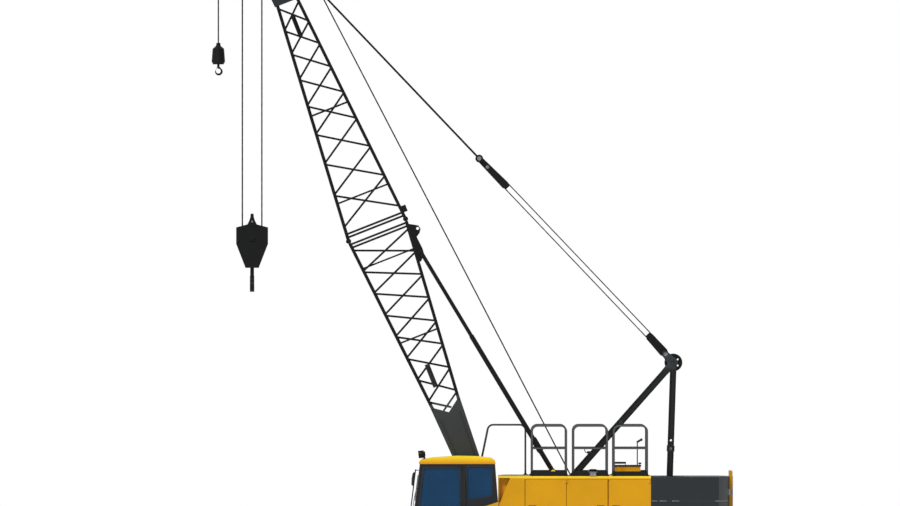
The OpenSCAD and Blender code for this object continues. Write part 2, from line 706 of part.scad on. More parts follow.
module cab_door() {
    y = cab_y + cab_w - wall;
    color(yellow) difference() {
        union() {
            plate(cab_door_side, y, wall);
            for (z = [cab_sill, cab_lintel - barrel_h]) {
                translate([cab_hinge_x, cab_hinge_y, z]) cylinder(r = hinge_r, h = barrel_h);
                translate([cab_hinge_x, cab_hinge_y - 20, z]) cube([30, 14, barrel_h]);
            }
            translate([2240, y + wall - 2, cab_z + 560]) cube([130, 22, 40]);
        }
        plate(cab_door_window, y - 1, wall + 2);
        for (z = [cab_sill - 1, cab_lintel - barrel_h - 1])
            translate([cab_hinge_x, cab_hinge_y, z]) cylinder(r = pintle_r + run, h = barrel_h + 2);
    }
}

module cab_door_glass() {
    color(glass) plate(cab_door_window, cab_y + cab_w - pane_d - pane_t, pane_t);
}

module cab_interior() {
    floor = cab_z + wall + seat;
    y = cab_y + cab_w / 2;
    color(dark) {
        // Seat on its pedestal
        union() {
            translate([1330, y - 200, floor]) cube([380, 400, 260]);
            translate([1250, y - 250, floor + 250]) cube([520, 500, 130]);
            plate([[1230, floor + 300], [1340, floor + 300], [1270, floor + 950], [1170, floor + 950]], y - 230, 460);
        }
        // Lever consoles
        for (s = [-1, 1]) translate([1500, y + s * 330 - 60, floor]) cube([420, 120, 560]);
        // Front panel
        translate([2180, y - 180, floor]) cube([120, 360, 620]);
    }
}

module cab_mirror() {
    y = cab_y + cab_w - 40;
    ahead = 72;                 // post's distance in front of the windscreen's line
    arm_r = 8;
    function post(z) = [edge_x(3, 4, z) + ahead, y, z];
    function front(z) = z < cab_side[3].y ? edge_x(2, 3, z) : edge_x(3, 4, z);
    color(dark) union() {
        bar(post(cab_z + 780), post(cab_z + 1720), 12);
        for (z = [cab_z + 860, cab_z + 1700])
            bar([max(front(z - arm_r), front(z + arm_r)) + seat, y, z], post(z), arm_r);
        // Glass and its shell
        plate([for (p = [[-4, 1380], [26, 1380], [26, 1655], [-4, 1655]]) [post(cab_z + p.y).x + p.x, cab_z + p.y]], y - 75, 150);
    }
}

// Handrails and deck fittings

// Rail hoop along X on the left, from x0 to x1, with rounded top corners
module hoop(x0, x1, y) {
    r = 117;
    z1 = deck_z + rail_h;
    union() {
        bar([x0, y, deck_z + seat], [x0, y, z1 - r], rail_r);
        bar([x1, y, deck_z + seat], [x1, y, z1 - r], rail_r);
        bar([x0 + r, y, z1], [x1 - r, y, z1], rail_r);
        translate([x0 + r, y, z1 - r]) rotate([90, 0, 0]) rotate(90) rotate_extrude(angle = 90) translate([r, 0]) circle(rail_r);
        translate([x1 - r, y, z1 - r]) rotate([90, 0, 0]) rotate_extrude(angle = 90) translate([r, 0]) circle(rail_r);
        bar([x0, y, deck_z + rail_h * 0.55], [x1, y, deck_z + rail_h * 0.55], rail_r * 0.8);
        translate([x0, y - 5, deck_z + seat]) cube([x1 - x0, 10, 100]);
    }
}

module handrails() {
    // Column 0 and 1: the two feet of each hoop
    hoops = [[150, -560], [-710, -1410], [-1550, -2240]];
    y = half_house - 80;
    color(grey) {
        both_sides() for (h = hoops) hoop(h[1], h[0], y);
        mirror([0, 1, 0]) step_rail(y);
    }
}

// Rail from the deck that slopes down to the step on the fuel tank
module step_rail(y) {
    x0 = 279;
    bend_x = 952;               // where the top rail starts to bend down
    lean = atan(0.206);
    r = 117;
    leg_r = rail_r + 2;
    z1 = deck_z + rail_h;
    turn = 90 - lean;
    x1 = bend_x + r * tan(turn / 2);
    end = step_z + 14;
    function leg_x(z) = x1 + (z1 - z) * tan(lean);
    union() {
        bar([x0, y, deck_z + seat], [x0, y, z1 - r], rail_r);
        bar([x0 + r, y, z1], [bend_x, y, z1], rail_r);
        translate([x0 + r, y, z1 - r]) rotate([90, 0, 0]) rotate(90) rotate_extrude(angle = 90) translate([r, 0]) circle(rail_r);
        translate([bend_x, y, z1 - r]) rotate([90, 0, 0]) rotate(lean) rotate_extrude(angle = turn) translate([r, 0]) circle(rail_r);
        bar([leg_x(z1 - r + r * sin(lean) + 6), y, z1 - r + r * sin(lean) + 6], [leg_x(end), y, end], leg_r);
        // Foot on the step
        translate([leg_x(end) - 60, y - 35, step_z + seat]) cube([75, 70, 22]);
    }
}

module deck_fittings() {
    z = deck_z + seat;
    color(grey) translate([-1120, half_channel + 180, z]) cylinder(r = 85, h = 110);
    color(grey) union() {
        translate([-2105, half_channel + 160, z]) cube([570, 380, 205]);
        translate([-2120, half_channel + 145, z + 195]) cube([600, 410, 34]);
        translate([-2040, half_channel + 350, z + 220]) cylinder(r = 12, h = 500);
        bar([-2030, half_channel + 350, z + 700], [-2110, half_channel + 350, z + 745], 22);
    }
}

// Boom, in its own frame: X along it, Y across, Z to its rear

function taper(s, s0, s1, a, b) = mix(a, b, (s - s0) / (s1 - s0));
joint_boss_r = 52;
plate_s = 2660;                 // upper end of the foot plates
head_plate_s = head_s - 1400;   // lower end of the head plates
foot_d = 590;                   // depth between chord centres at the foot plates

function foot_corner(s, y, z) = [s, y * boom_w / 2, z * taper(s, plate_s, section_l, foot_d, boom_d) / 2];
function head_corner(s, y, z) = [s, y * taper(s, section_l, head_plate_s, boom_w, head_w) / 2,
    z * taper(s, section_l, head_plate_s, boom_d, head_d) / 2];

// Lacing tube between two chords, its ends kept off the bay's corners
module lacing(a, b) {
    inset = (b - a).x > 0 ? [lacing_gap / 2, 0, 0] : [-lacing_gap / 2, 0, 0];
    bar(a + inset, b - inset, lacing_r);
}

// Point at a distance from a towards b
function toward(a, b, d) = a + (b - a) * d / norm(b - a);

// Frame of four tubes round a cross section, through the given corners
module ring_of(corners, r) {
    for (i = [0:3]) bar(corners[i], corners[(i + 1) % 4], r);
}

// Frame across the boom, at a distance along it
module frame_across(s, r, head) {
    function corner(y, z) = head ? head_corner(s, y, z) : foot_corner(s, y, z);
    ring_of([corner(-1, -1), corner(1, -1), corner(1, 1), corner(-1, 1)], r);
}

module boom_foot_section() {
    bays = 7;
    first = plate_s + 120;
    last = section_l - 200;
    function bay(i) = mix(last, first, i / bays);
    plate_y = boom_w / 2 - foot_plate_t / 2;
    color(dark) boom_frame() difference() {
        union() {
            // Chords
            for (y = [-1, 1], z = [-1, 1]) 
                bar(foot_corner(plate_s - 40, y, z),
                    toward(foot_corner(section_l, y, z), foot_corner(plate_s, y, z), joint_boss_r + seat), chord_r);
            // Side lacing, which crosses the other side's
            for (i = [0:bays - 1], y = [-1, 1]) {
                z = (i % 2 == 0 ? 1 : -1) * y;
                lacing(foot_corner(bay(i), y, z), foot_corner(bay(i + 1), y, -z));
            }
            // Front and rear lacing
            for (i = [0:bays - 1], z = [-1, 1]) {
                y = (i % 2 == 0 ? 1 : -1) * z;
                lacing(foot_corner(bay(i), y, z), foot_corner(bay(i + 1), -y, z));
            }
            // End frames at the joint, and the frames between them
            for (d = [78, 150]) frame_across(section_l - d, lacing_r, false);
            for (d = [640, 2370]) frame_across(section_l - d, diaphragm_r, false);
            both_sides() {
                // Foot plates, with a notch between the chords
                plate(concat(arc(155, 135, 225, 4), [[700, -205], [1400, -262], [plate_s, -foot_d / 2 - chord_r],
                    [plate_s - 240, 0], [plate_s, foot_d / 2 + chord_r], [1400, 262], [700, 205]]), plate_y - foot_plate_t / 2, foot_plate_t);
                cross_pin([0, 0, 0], 155, plate_y - foot_plate_t / 2, foot_plate_t);
                // Backstop brackets
                difference() {
                    plate([for (p = brace_bracket) brace_at + p], boom_w / 2 + 12, 24);
                    cross_pin([brace_at[0] + 473, 0, brace_at[1] + 117], 30, boom_w / 2, 60);
                }
                cross_pin([brace_at[0], 0, brace_at[1]], brace_eye_r - 5, boom_w / 2 + 14, brace_y - 25 - seat - boom_w / 2 - 14);
            }
            // Cross tubes of the foot
            for (s = [800, 1500, 2200]) bar([s, -boom_w / 2 + 10, 0], [s, boom_w / 2 - 10, 0], 50);
            for (z = [-1, 1]) bar([plate_s - 60, -boom_w / 2, z * (foot_d / 2 - 10)], [plate_s - 60, boom_w / 2, z * (foot_d / 2 - 10)], 34);
        }
        cross_pin([0, 0, 0], foot_pin_r + run, -boom_w, 2 * boom_w);
    }
}

module boom_head_section() {
    bays = 8;
    first = section_l + 290;
    span = head_plate_s - 50 - first;
    growth = 0.22;
    function bay(i) = head_plate_s - 50 - span * mix(i / bays, i * i / bays / bays, growth);
    color(dark) boom_frame() union() {
        for (y = [-1, 1], z = [-1, 1]) {
            difference() {
                bar(head_corner(section_l, y, z), head_corner(head_plate_s + 30, y, z), chord_r);
                // Ends flat against the head plates
                translate([head_plate_s, -boom_w, -boom_d]) cube([200, 2 * boom_w, 2 * boom_d]);
            }
            // Joint pin's boss
            translate(head_corner(section_l, y, z)) rotate([90, 0, 0]) cylinder(r = joint_boss_r, h = 90, center = true);
        }
        for (i = [0:bays - 1], y = [-1, 1]) {
            z = (i % 2 == 0 ? -1 : 1) * y;
            lacing(head_corner(bay(i), y, z), head_corner(bay(i + 1), y, -z));
        }
        for (i = [0:bays - 1], z = [-1, 1]) {
            y = (i % 2 == 0 ? 1 : -1) * z;
            lacing(head_corner(bay(i), y, z), head_corner(bay(i + 1), -y, z));
        }
        for (d = [78, 150]) frame_across(section_l + d, lacing_r, true);
        for (d = [811, 2710]) frame_across(section_l + d, diaphragm_r, true);
        // Rope guides on the rear chords
        for (y = [-1, 1]) translate(head_corner(section_l + 210, y, 1) + [-70, -25, 15]) cube([140, 50, 105]);
    }
}

module boom_head_plates() {
    plate_t = 36;
    plate_y = head_w / 2 - plate_t / 2;
    rooster_y = 2 * sheave_w;
    // Head plates: distance along the boom and behind its axis
    head_outline = [[head_plate_s + seat, -head_d / 2 - 60], [head_plate_s + 700, -330], [head_s - 160, -420],
        [head_s + 110, -420], [head_s + 200, -300], [head_s + 260, 60], [head_s + 230, 430], [head_s - 120, 450],
        [head_s - 300, 250], [head_plate_s + seat, head_d / 2 + 60]];
    color(dark) boom_frame() union() {
        both_sides() {
            plate(head_outline, plate_y - plate_t / 2, plate_t);
            // Pendant boss
            cross_pin([pendant_at[0], 0, pendant_at[1]], 60, plate_y, stay_y - stay_eye_t / 2 - seat - plate_y);
            // Plates of the auxiliary sheave
            plate([[main_at[0] - 60, main_at[1] + 50], [main_at[0] - 70, main_at[1] - 60], [aux_at[0] - 20, aux_at[1] - 70],
                [aux_at[0] + 70, aux_at[1] - 30], [aux_at[0] + 60, aux_at[1] + 60], [main_at[0] + 90, main_at[1] + 100]],
                rooster_y, 22);
        }
        // Axles
        cross_pin([main_at[0], 0, main_at[1]], 45, -plate_y, 2 * plate_y);
        cross_pin([guide_at[0], 0, guide_at[1]], 45, -plate_y, 2 * plate_y);
        cross_pin([aux_at[0], 0, aux_at[1]], 40, -rooster_y - 30, 2 * rooster_y + 60);
        // Cross tubes between the head plates
        for (s = [head_plate_s + 100, head_plate_s + 600]) cross_pin([s, 0, 0], 60, -plate_y, 2 * plate_y);
    }
}

module boom_head_sheaves() {
    color(steel) boom_frame() {
        for (y = [-70, 70]) sheave([main_at[0], 0, main_at[1]], sheave_r, y, 45 + run);
        for (y = [-120, 120]) sheave([guide_at[0], 0, guide_at[1]], drum_r, y, 45 + run);
        sheave([aux_at[0], 0, aux_at[1]], sheave_r, 0, 40 + run);
    }
}

// Hooks

module main_falls() {
    color(dark) for (y = [-70, 70], x = [-sheave_r, sheave_r])
        bar([main_x + x, y, block_z], [main_x + x, y, on_boom(main_at).z], rope_r);
}

module main_hook_block() {
    cheek = 24;
    outer = 135;
    // Half of a cheek's outline: half width, and height from the axle
    half = [[30, 500], [45, 290], [331, 215], [331, -130], [137, -630]];
    color(dark) both_sides() plate(concat([for (p = half) [main_x + p.x, block_z + p.y]],
        [for (i = [4:-1:0]) [main_x - half[i].x, block_z + half[i].y]]), outer - cheek, cheek);
    color(steel) for (y = [-70, 70]) sheave([main_x, 0, block_z], sheave_r, y, 40 + run);
    color(grey) cross_pin([main_x, 0, block_z], 40, -outer - 30, 2 * outer + 60);
    color(grey) translate([main_x, 0, block_z - 560]) difference() {
        cube([200, 2 * (outer - cheek), 110], center = true);
        cylinder(r = 40 + run, h = 200, center = true);
    }
}

module main_hook() {
    bowl = 78;
    color(steel) union() {
        translate([main_x + 45, 0, hook_tip_z + bowl * 1.9]) rotate([90, 0, -90]) linear_extrude(90) hook_outline(bowl, 90);
        translate([main_x, 0, block_z - 860]) cylinder(r = 40, h = 400);
        translate([main_x, 0, block_z - 500]) cylinder(r = 70, h = 60);
    }
}

module aux_fall() {
    color(dark) bar([aux_x, 0, ball_z + ball_neck + seat], [aux_x, 0, on_boom(aux_at).z], rope_r);
}

module ball_weight() {
    color(dark) translate([aux_x, 0, ball_z]) difference() {
        rotate_extrude() polygon([[0, ball_neck], [40, ball_neck], [50, 0], [120, -60], [141, -330], [110, -387], [0, -387]]);
        translate([0, 0, -400]) cylinder(r = 25 + run, h = 200);
    }
}

module ball_hook() {
    bowl = 50;
    color(steel) union() {
        translate([aux_x, 25, aux_tip_z + bowl * 1.9]) rotate([90, 0, 0]) linear_extrude(50) hook_outline(bowl, 50);
        translate([aux_x, 0, ball_z - 440]) cylinder(r = 25, h = 200);
    }
}

// Boom suspension, in the frame of the stay line

stay_y = 370;                   // lane of the pendants
stay_eye_t = 44;
link_s = 5631;                  // pendants' pin, from the spreader's pin
block_s = [480, 4890];          // axles of the two rope blocks
block_rise = 17;
block_r = 60;

module lower_spreader() {
    color(dark) turned(stay_pin, stay_pitch) union() {
        both_sides() difference() {
            plate([[-60, -50], [60, -92], [500, -70], [560, -30], [560, 60], [500, 92], [60, 92], [-60, 50]], 262, 26);
            cross_pin([0, 0, 0], 30 + run, 200, 120);
        }
        cross_pin([block_s[0], 0, block_rise], 22, -275, 550);
        cross_pin([240, 0, 0], 40, -275, 550);
    }
    color(steel) turned(stay_pin, stay_pitch) stay_blocks(block_s[0]);
}

// Four small sheaves on one axle
module stay_blocks(s) {
    for (y = [-180, -60, 60, 180]) sheave([s, 0, block_rise], block_r, y, 22 + seat, stay_rope_r, 0);
}

module derrick_ropes() {
    color(dark) turned(stay_pin, stay_pitch) for (y = [-180, -60, 60, 180], z = [-block_r, block_r])
        bar([block_s[0], y, block_rise + z], [block_s[1], y, block_rise + z], stay_rope_r);
}

module upper_spreader() {
    color(dark) turned(stay_pin, stay_pitch) union() {
        both_sides() plate([[4780, -30], [4850, -70], [5640, -60], [5710, 0], [5640, 60], [4850, 92], [4780, 60]], 262, 26);
        cross_pin([block_s[1], 0, block_rise], 22, -275, 550);
        cross_pin([5384, 0, 0], 40, -275, 550);
        cross_pin([link_s, 0, 0], 40, -stay_y - 30, 2 * stay_y + 60);
    }
    color(steel) turned(stay_pin, stay_pitch) stay_blocks(block_s[1]);
}

module pendants() {
    y = stay_y - stay_eye_t / 2;
    color(dark) turned(stay_pin, stay_pitch) both_sides() difference() {
        union() {
            bar([link_s + 60, stay_y, 0], [stay_l - 50, stay_y, 0], 20);
            cross_pin([link_s, 0, 0], 80, y, stay_eye_t);
            cross_pin([stay_l, 0, 0], 70, y, stay_eye_t);
        }
        cross_pin([link_s, 0, 0], 40 + seat, 300, 200);
        cross_pin([stay_l, 0, 0], 40, 300, 200);
    }
}

// Backstops, in the frame of their own line

module backstop_tubes() {
    color(grey) turned(brace_foot, brace_pitch) both_sides() difference() {
        union() {
            bar([brace_cheek_r + clear, brace_y, 0], [3300, brace_y, 0], 50);
            bar([500, brace_y, 0], [800, brace_y, 0], 66);
            cross_pin([0, 0, 0], brace_cheek_r + 12, brace_y - 25, 50);
        }
        bar([600, brace_y, 0], [3400, brace_y, 0], 40);
        cross_pin([0, 0, 0], 30 + run, brace_y - 30, 60);
    }
}

module backstop_rods() {
    color(steel) turned(brace_foot, brace_pitch) both_sides() union() {
        bar([1900, brace_y, 0], [brace_l - brace_eye_r + 3, brace_y, 0], 40 - seat);
        cross_pin([brace_l, 0, 0], brace_eye_r, brace_y - 25, 50);
    }
}

// Hoist lines, from the drums to the head, in the frame of their own line

line_end = [620, 275];          // where the lines' last lengths start and stop, short of the guide sheaves

module hoist_lines() {
    color(dark) turned(drum, hoist_pitch) for (y = [-120, 120])
        bar([0, y, drum_r], [hoist_l - line_end[0], y, drum_r], rope_r);
}

module hoist_line_ends() {
    color(dark) turned(drum, hoist_pitch) for (y = [-120, 120])
        bar([hoist_l - line_end[0] + seat, y, drum_r], [hoist_l - line_end[1], y, drum_r], rope_r);
}

carbody();
track_frame(1);  // track_frame_left
track_frame(-1);  // track_frame_right
track_wheels(1);  // track_wheels_left
track_wheels(-1);  // track_wheels_right
track(1);  // track_left
track(-1);  // track_right
slew_ring();
revolving_frame();
house();  // house_left
mirror([0, 1, 0]) house();  // house_right
house_door(0);  // house_door_left_front
house_door(1);  // house_door_left_middle
house_door(2);  // house_door_left_rear
mirror([0, 1, 0]) house_door(0);  // house_door_right_front
mirror([0, 1, 0]) house_door(1);  // house_door_right_middle
mirror([0, 1, 0]) house_door(2);  // house_door_right_rear
handrails();
deck_fittings();
fuel_tank();
counterweight(weight_bottom, weight_seam);  // counterweight_lower
counterweight(weight_seam + seat, weight_top);  // counterweight_upper
engine();
winches();
gantry_front_legs();
gantry_rear_legs();
gantry_sheaves();
cab_shell();
cab_roof();
cab_glass();
cab_door();
cab_door_glass();
cab_interior();
cab_mirror();
boom_foot_section();
boom_head_section();
boom_head_plates();
boom_head_sheaves();
main_falls();
main_hook_block();
main_hook();
aux_fall();
ball_weight();
ball_hook();
lower_spreader();
derrick_ropes();
upper_spreader();
pendants();
backstop_tubes();
backstop_rods();
hoist_lines();
hoist_line_ends();
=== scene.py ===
# %% [markdown]
# # Dressing a crawler crane
# The solids of the crane come in finished and fixed. This lesson adds what a viewer reads as real: paint,
# laid wire rope, linked track shoes, seals, latches, bolts and hoses. Every piece is modelled where it sits
# on the machine, in metres: +X points forward, +Y to the cab side and +Z up.

# %% Load the fixed crane
import math
from contextlib import contextmanager
import bmesh
import bpy
from mathutils import Matrix, Vector


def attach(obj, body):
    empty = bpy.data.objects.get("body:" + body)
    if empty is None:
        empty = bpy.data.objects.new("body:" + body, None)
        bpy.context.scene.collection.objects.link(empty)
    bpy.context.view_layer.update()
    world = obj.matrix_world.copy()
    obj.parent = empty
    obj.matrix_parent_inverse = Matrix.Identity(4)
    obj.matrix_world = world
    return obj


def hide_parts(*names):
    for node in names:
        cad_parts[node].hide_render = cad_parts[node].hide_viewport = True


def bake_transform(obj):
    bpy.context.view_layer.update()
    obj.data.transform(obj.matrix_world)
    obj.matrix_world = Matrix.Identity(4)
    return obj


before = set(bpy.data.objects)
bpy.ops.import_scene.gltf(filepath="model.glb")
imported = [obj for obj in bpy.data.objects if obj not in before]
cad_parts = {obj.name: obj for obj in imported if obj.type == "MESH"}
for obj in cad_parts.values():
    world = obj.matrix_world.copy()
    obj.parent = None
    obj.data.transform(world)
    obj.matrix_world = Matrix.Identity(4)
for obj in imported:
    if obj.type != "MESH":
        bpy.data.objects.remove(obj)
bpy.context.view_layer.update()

scene = bpy.context.scene
scene.view_settings.view_transform = "Standard"

# %% [markdown]
# ## The camera
# The picture is a side view with no visible perspective, so a very long lens far away on the cab side gives
# the same view. The picture is 18.75 m wide at the crane, and cuts off the boom point and the tracks.

# %% Camera
picture_wide, picture_x, picture_z = 18.75, 1.854, 7.54
lens, sensor = 900, 36
bpy.ops.object.camera_add(location=(picture_x, picture_wide * lens / sensor, picture_z),
                          rotation=(math.pi / 2, 0, math.pi))
camera = bpy.context.object
camera.data.lens, camera.data.sensor_width = lens, sensor
camera.data.clip_end = 1000
scene.camera = camera
print("camera stands", round(camera.location.y, 1), "m away")

# %% [markdown]
# ## Mixing a finish
# Each finish is a small network of nodes. Every pattern reads the Object coordinates, which are metres on the
# crane, so that a stain or a grain has its real size and stays put when the boom moves.

# %% Helpers for finishes
def shade(red, green, blue):
    """A screen colour of 0 to 255 as the linear light values that Blender works in."""
    def one(level):
        level /= 255
        return level / 12.92 if level <= 0.04045 else ((level + 0.055) / 1.055) ** 2.4
    return one(red), one(green), one(blue), 1


def wired(tree, node, **sockets):
    """Fills sockets of a node. Another node's output is linked, and any other value is typed in."""
    for key, value in sockets.items():
        target = node.inputs[int(key[1:])] if key[1:].isdigit() else node.inputs[key.replace("_", " ")]
        if isinstance(value, bpy.types.NodeSocket):
            tree.links.new(value, target)
        else:
            target.default_value = value
    return node


def add_node(tree, kind, settings=None, **sockets):
    node = tree.nodes.new("ShaderNode" + kind)
    for key, value in (settings or {}).items():
        setattr(node, key, value)
    return wired(tree, node, **sockets)


def mixed(tree, share, first, second):
    """A colour between two, by a share."""
    return add_node(tree, "Mix", {"data_type": "RGBA"}, s0=share, s6=first, s7=second).outputs[2]


def stretched(tree, value, low, high, to_low=0.0, to_high=1.0):
    """Maps a pattern's values from one range to another."""
    return add_node(tree, "MapRange", {}, Value=value, From_Min=low, From_Max=high,
                    To_Min=to_low, To_Max=to_high).outputs[0]


def cloud(tree, size, detail=3.0, stretch=(1, 1, 1)):
    """A soft random pattern whose patches are about size metres across."""
    place = add_node(tree, "TexCoord").outputs["Object"]
    scaled = add_node(tree, "Mapping", {}, Vector=place, Scale=stretch).outputs[0]
    return add_node(tree, "TexNoise", {}, Vector=scaled, Scale=1 / size, Detail=detail).outputs["Fac"]


def height(tree, axis=2):
    """One Object coordinate, in metres."""
    place = add_node(tree, "TexCoord").outputs["Object"]
    return add_node(tree, "SeparateXYZ", {}, Vector=place).outputs[axis]


def times(tree, first, second, operation="MULTIPLY"):
    return add_node(tree, "Math", {"operation": operation}, s0=first, s1=second).outputs[0]


def new_finish(name):
    """An empty material with its shader, and the tree to build in."""
    finish = bpy.data.materials.new(name)
    finish.use_nodes = True
    return finish, finish.node_tree, finish.node_tree.nodes["Principled BSDF"]


def roughened(tree, shader, pattern, depth):
    """Gives the shader a fine relief, depth metres deep."""
    relief = add_node(tree, "Bump", {}, Height=pattern, Distance=depth, Strength=0.6)
    wired(tree, shader, Normal=relief.outputs["Normal"])


print("finish helpers ready")

# %% [markdown]
# ## Floor, sky and sun
# A plain pale disc keeps the crane's shadow. One soft sun over the viewer's shoulder shapes the sides, and
# an even grey sky fills them. Only the camera sees the sky as white, also through glass, so the background
# turns white and no extra light falls on the paint.

# %% Floor, sky and sun
bpy.ops.object.select_all(action="DESELECT")
bpy.ops.mesh.primitive_circle_add(vertices=96, radius=55, fill_type="NGON", location=(0, 0, -0.01))
floor = bpy.context.object
floor.name = "studio_floor"
bpy.ops.object.transform_apply(location=True, rotation=True, scale=True)

sky_fill = 0.62
sky = bpy.data.worlds.new("even_sky")
scene.world = sky
sky.use_nodes = True
sky_tree = sky.node_tree
sky_tree.nodes.clear()
rays = add_node(sky_tree, "LightPath").outputs
seen_directly = times(sky_tree, rays["Is Camera Ray"], rays["Is Transmission Ray"], "MAXIMUM")
lit = add_node(sky_tree, "Background", {}, Color=(sky_fill, sky_fill, sky_fill, 1))
seen = add_node(sky_tree, "Background", {}, Color=(1, 1, 1, 1))
choose = add_node(sky_tree, "MixShader", {}, s0=seen_directly, s1=lit.outputs[0], s2=seen.outputs[0])
add_node(sky_tree, "OutputWorld", {}, Surface=choose.outputs[0])

bpy.ops.object.light_add(type="SUN", location=(0, 0, 30))
sun = bpy.context.object
sun.rotation_euler = Vector((-0.35, -0.62, -0.70)).to_track_quat("-Z", "Y").to_euler()
sun.data.energy, sun.data.angle = 1.9, math.radians(12)
print("sky fill", sky_fill, "sun", sun.data.energy)

# %% [markdown]
# ## Machine paint
# Sprayed paint on a crane isn't one flat colour. It has a faint cloudiness, an orange-peel skin and dust that settles
# on the lower parts, and its edges get a painted highlight in patches, where light would catch them. The Bevel node
# finds the edges: its rounded normal turns away from the flat one near a corner.

# %% Machine paint
def edge_share(tree, width):
    """1 at a corner of the metal and 0 on the flat."""
    rounded = add_node(tree, "Bevel", {"samples": 4}, Radius=width).outputs[0]
    flat = add_node(tree, "NewGeometry").outputs["Normal"]
    along = add_node(tree, "VectorMath", {"operation": "DOT_PRODUCT"}, s0=rounded, s1=flat).outputs["Value"]
    return stretched(tree, along, 0.995, 0.80)


def paint_colour(tree, colour, edge_colour, dust):
    """Cloudy paint with a painted highlight on its edges, and dust up to a height that the last value gives."""
    dark = tuple(0.86 * level for level in colour[:3]) + (1,)
    tone = stretched(tree, cloud(tree, 0.9, 4.0), 0.3, 0.7)
    body = mixed(tree, tone, dark, colour)
    # A painted highlight: a lighter colour in patches along the edges, where light would catch them.
    edge_highlight = times(tree, edge_share(tree, 0.012), stretched(tree, cloud(tree, 0.08), 0.3, 0.65, 0.25, 0.9))
    body = mixed(tree, edge_highlight, body, edge_colour)
    low = stretched(tree, height(tree), dust, 0.0)
    settled = times(tree, low, stretched(tree, cloud(tree, 0.25, 5.0), 0.3, 0.7, 0.45, 1.0))
    return mixed(tree, times(tree, settled, 0.55), body, shade(150, 134, 108))


def sprayed(tree, shader, colour):
    """Sets a paint's colour, its low gloss and its orange-peel skin."""
    wired(tree, shader, Base_Color=colour, Specular_IOR_Level=0.2)
    roughened(tree, shader, cloud(tree, 0.004, 1.0), 0.0004)


def machine_paint(name, colour, edge_colour, gloss=0.42, dust=1.4):
    finish, tree, shader = new_finish(name)
    sprayed(tree, shader, paint_colour(tree, colour, edge_colour, dust))
    wired(tree, shader, Roughness=stretched(tree, cloud(tree, 0.3), 0.3, 0.7, gloss - 0.07, gloss + 0.1))
    return finish


# The second colour of each paint is the painted highlight on its edges.
yellow_paint = machine_paint("yellow_paint", shade(212, 153, 6), shade(238, 186, 44))
slate_paint = machine_paint("slate_paint", shade(41, 45, 49), shade(74, 79, 84), 0.5)
engine_paint = machine_paint("engine_paint", shade(86, 92, 92), shade(120, 126, 126), 0.4, 0.2)
black_paint = machine_paint("black_paint", shade(11, 12, 13), shade(42, 44, 46), 0.45)


def two_colours(name, share_of, first, second, edges=None, gloss=0.45):
    """One finish with two paints, where share_of gives the second one's share from the place on the crane."""
    finish, tree, shader = new_finish(name)
    # Unless given, the painted edge highlights are 32 levels lighter than each paint.
    edges = edges or [[min(255, level + 32) for level in colour] for colour in (first, second)]
    one, other = (paint_colour(tree, shade(*colour), shade(*edge), 1.4) for colour, edge in zip((first, second), edges))
    sprayed(tree, shader, mixed(tree, share_of(tree), one, other))
    wired(tree, shader, Roughness=gloss)
    return finish


def over(tree, value, limit):
    """1 where a value is over a limit."""
    return stretched(tree, value, limit - 0.001, limit + 0.001)


def under(tree, value, limit):
    """1 where a value is under a limit."""
    return over(tree, times(tree, value, -1), -limit)


def on_rear_deck(tree):
    """1 behind one X and under one Z, where the deck's pieces are yellow."""
    front, top = -1.5, 3.1
    return times(tree, under(tree, height(tree, 0), front), under(tree, height(tree), top))


def on_lugs(tree):
    """1 on the counterweight's lifting lugs: at the tail, and within their distance from the middle."""
    front, near, far = -3.910, 0.7145, 0.8055
    aside = times(tree, height(tree, 1), 0, "ABSOLUTE")
    between = times(tree, over(tree, aside, near), under(tree, aside, far))
    return times(tree, under(tree, height(tree, 0), front), between)


def below_lattice(tree):
    """1 on the foot plates, judged by the distance along the boom."""
    lean_cos, lean_sin, lattice_start = 0.3665, 0.9304, 4.896
    along = times(tree, times(tree, height(tree, 0), -lean_cos), times(tree, height(tree), -lean_sin), "ADD")
    return over(tree, along, -lattice_start)


def rising(low, high):
    """0 under one height and 1 over another, with a blend between."""
    return lambda tree: stretched(tree, height(tree), low, high)


yellow, slate, upper_slate = (212, 153, 6), (41, 45, 49), (54, 57, 58)
rail_paint = two_colours("rail_paint", lambda tree: over(tree, height(tree), 3.013), (22, 23, 25), (74, 77, 80))
deck_paint = two_colours("deck_paint", on_rear_deck, (34, 36, 39), yellow)
weight_paint = two_colours("weight_paint", on_lugs, slate, yellow)
boom_paint = two_colours("boom_paint", below_lattice, (10, 11, 12), (55, 58, 60))
# The gantry is dark below 5.1 m and a lighter slate over 5.18 m, round its head.
gantry_paint = two_colours("gantry_paint", rising(5.100, 5.180), (29, 31, 34), upper_slate)
# The house is a lighter yellow over 2.85 m: a painted highlight where light catches its rounded top edge.
house_paint = two_colours("house_paint", rising(2.850, 2.895), yellow, (252, 212, 44))
# The cab roof runs from orange-yellow below to bright yellow on top: painted light, brighter where it faces up.
roof_paint = two_colours("roof_paint", rising(3.175, 3.300), (222, 148, 16), (252, 214, 30))
print("paints:", [m.name for m in (yellow_paint, slate_paint, boom_paint, black_paint, rail_paint, weight_paint)])

# %% [markdown]
# ## Two-tone cab
# The cab is yellow below and dark round its windows. The line between them runs down towards the front. On
# the real cab it is masked and sprayed, so here one finish changes colour along that line.

# %% Two-tone cab paint
def over_cab_line(tree):
    """1 over the line, which falls by its slope for each metre forwards."""
    slope, start = 0.331, 2.654
    line = times(tree, times(tree, height(tree, 0), slope), start, "SUBTRACT")
    return stretched(tree, times(tree, height(tree), line, "ADD"), -0.002, 0.002)


# The last pair of colours are the painted highlights on the cab's edges.
two_tone = two_colours("cab_paint", over_cab_line, (212, 153, 6), (34, 37, 41), ((238, 186, 44), (60, 64, 69)), 0.4)
print("mixed", two_tone.name)

# %% [markdown]
# ## Steel, rope, rubber, glass and trim
# Bare steel gets fine scratches, rope gets grease in the grooves between its strands, track shoes get rust
# and soil, and glass keeps the deep blue tint of the picture.

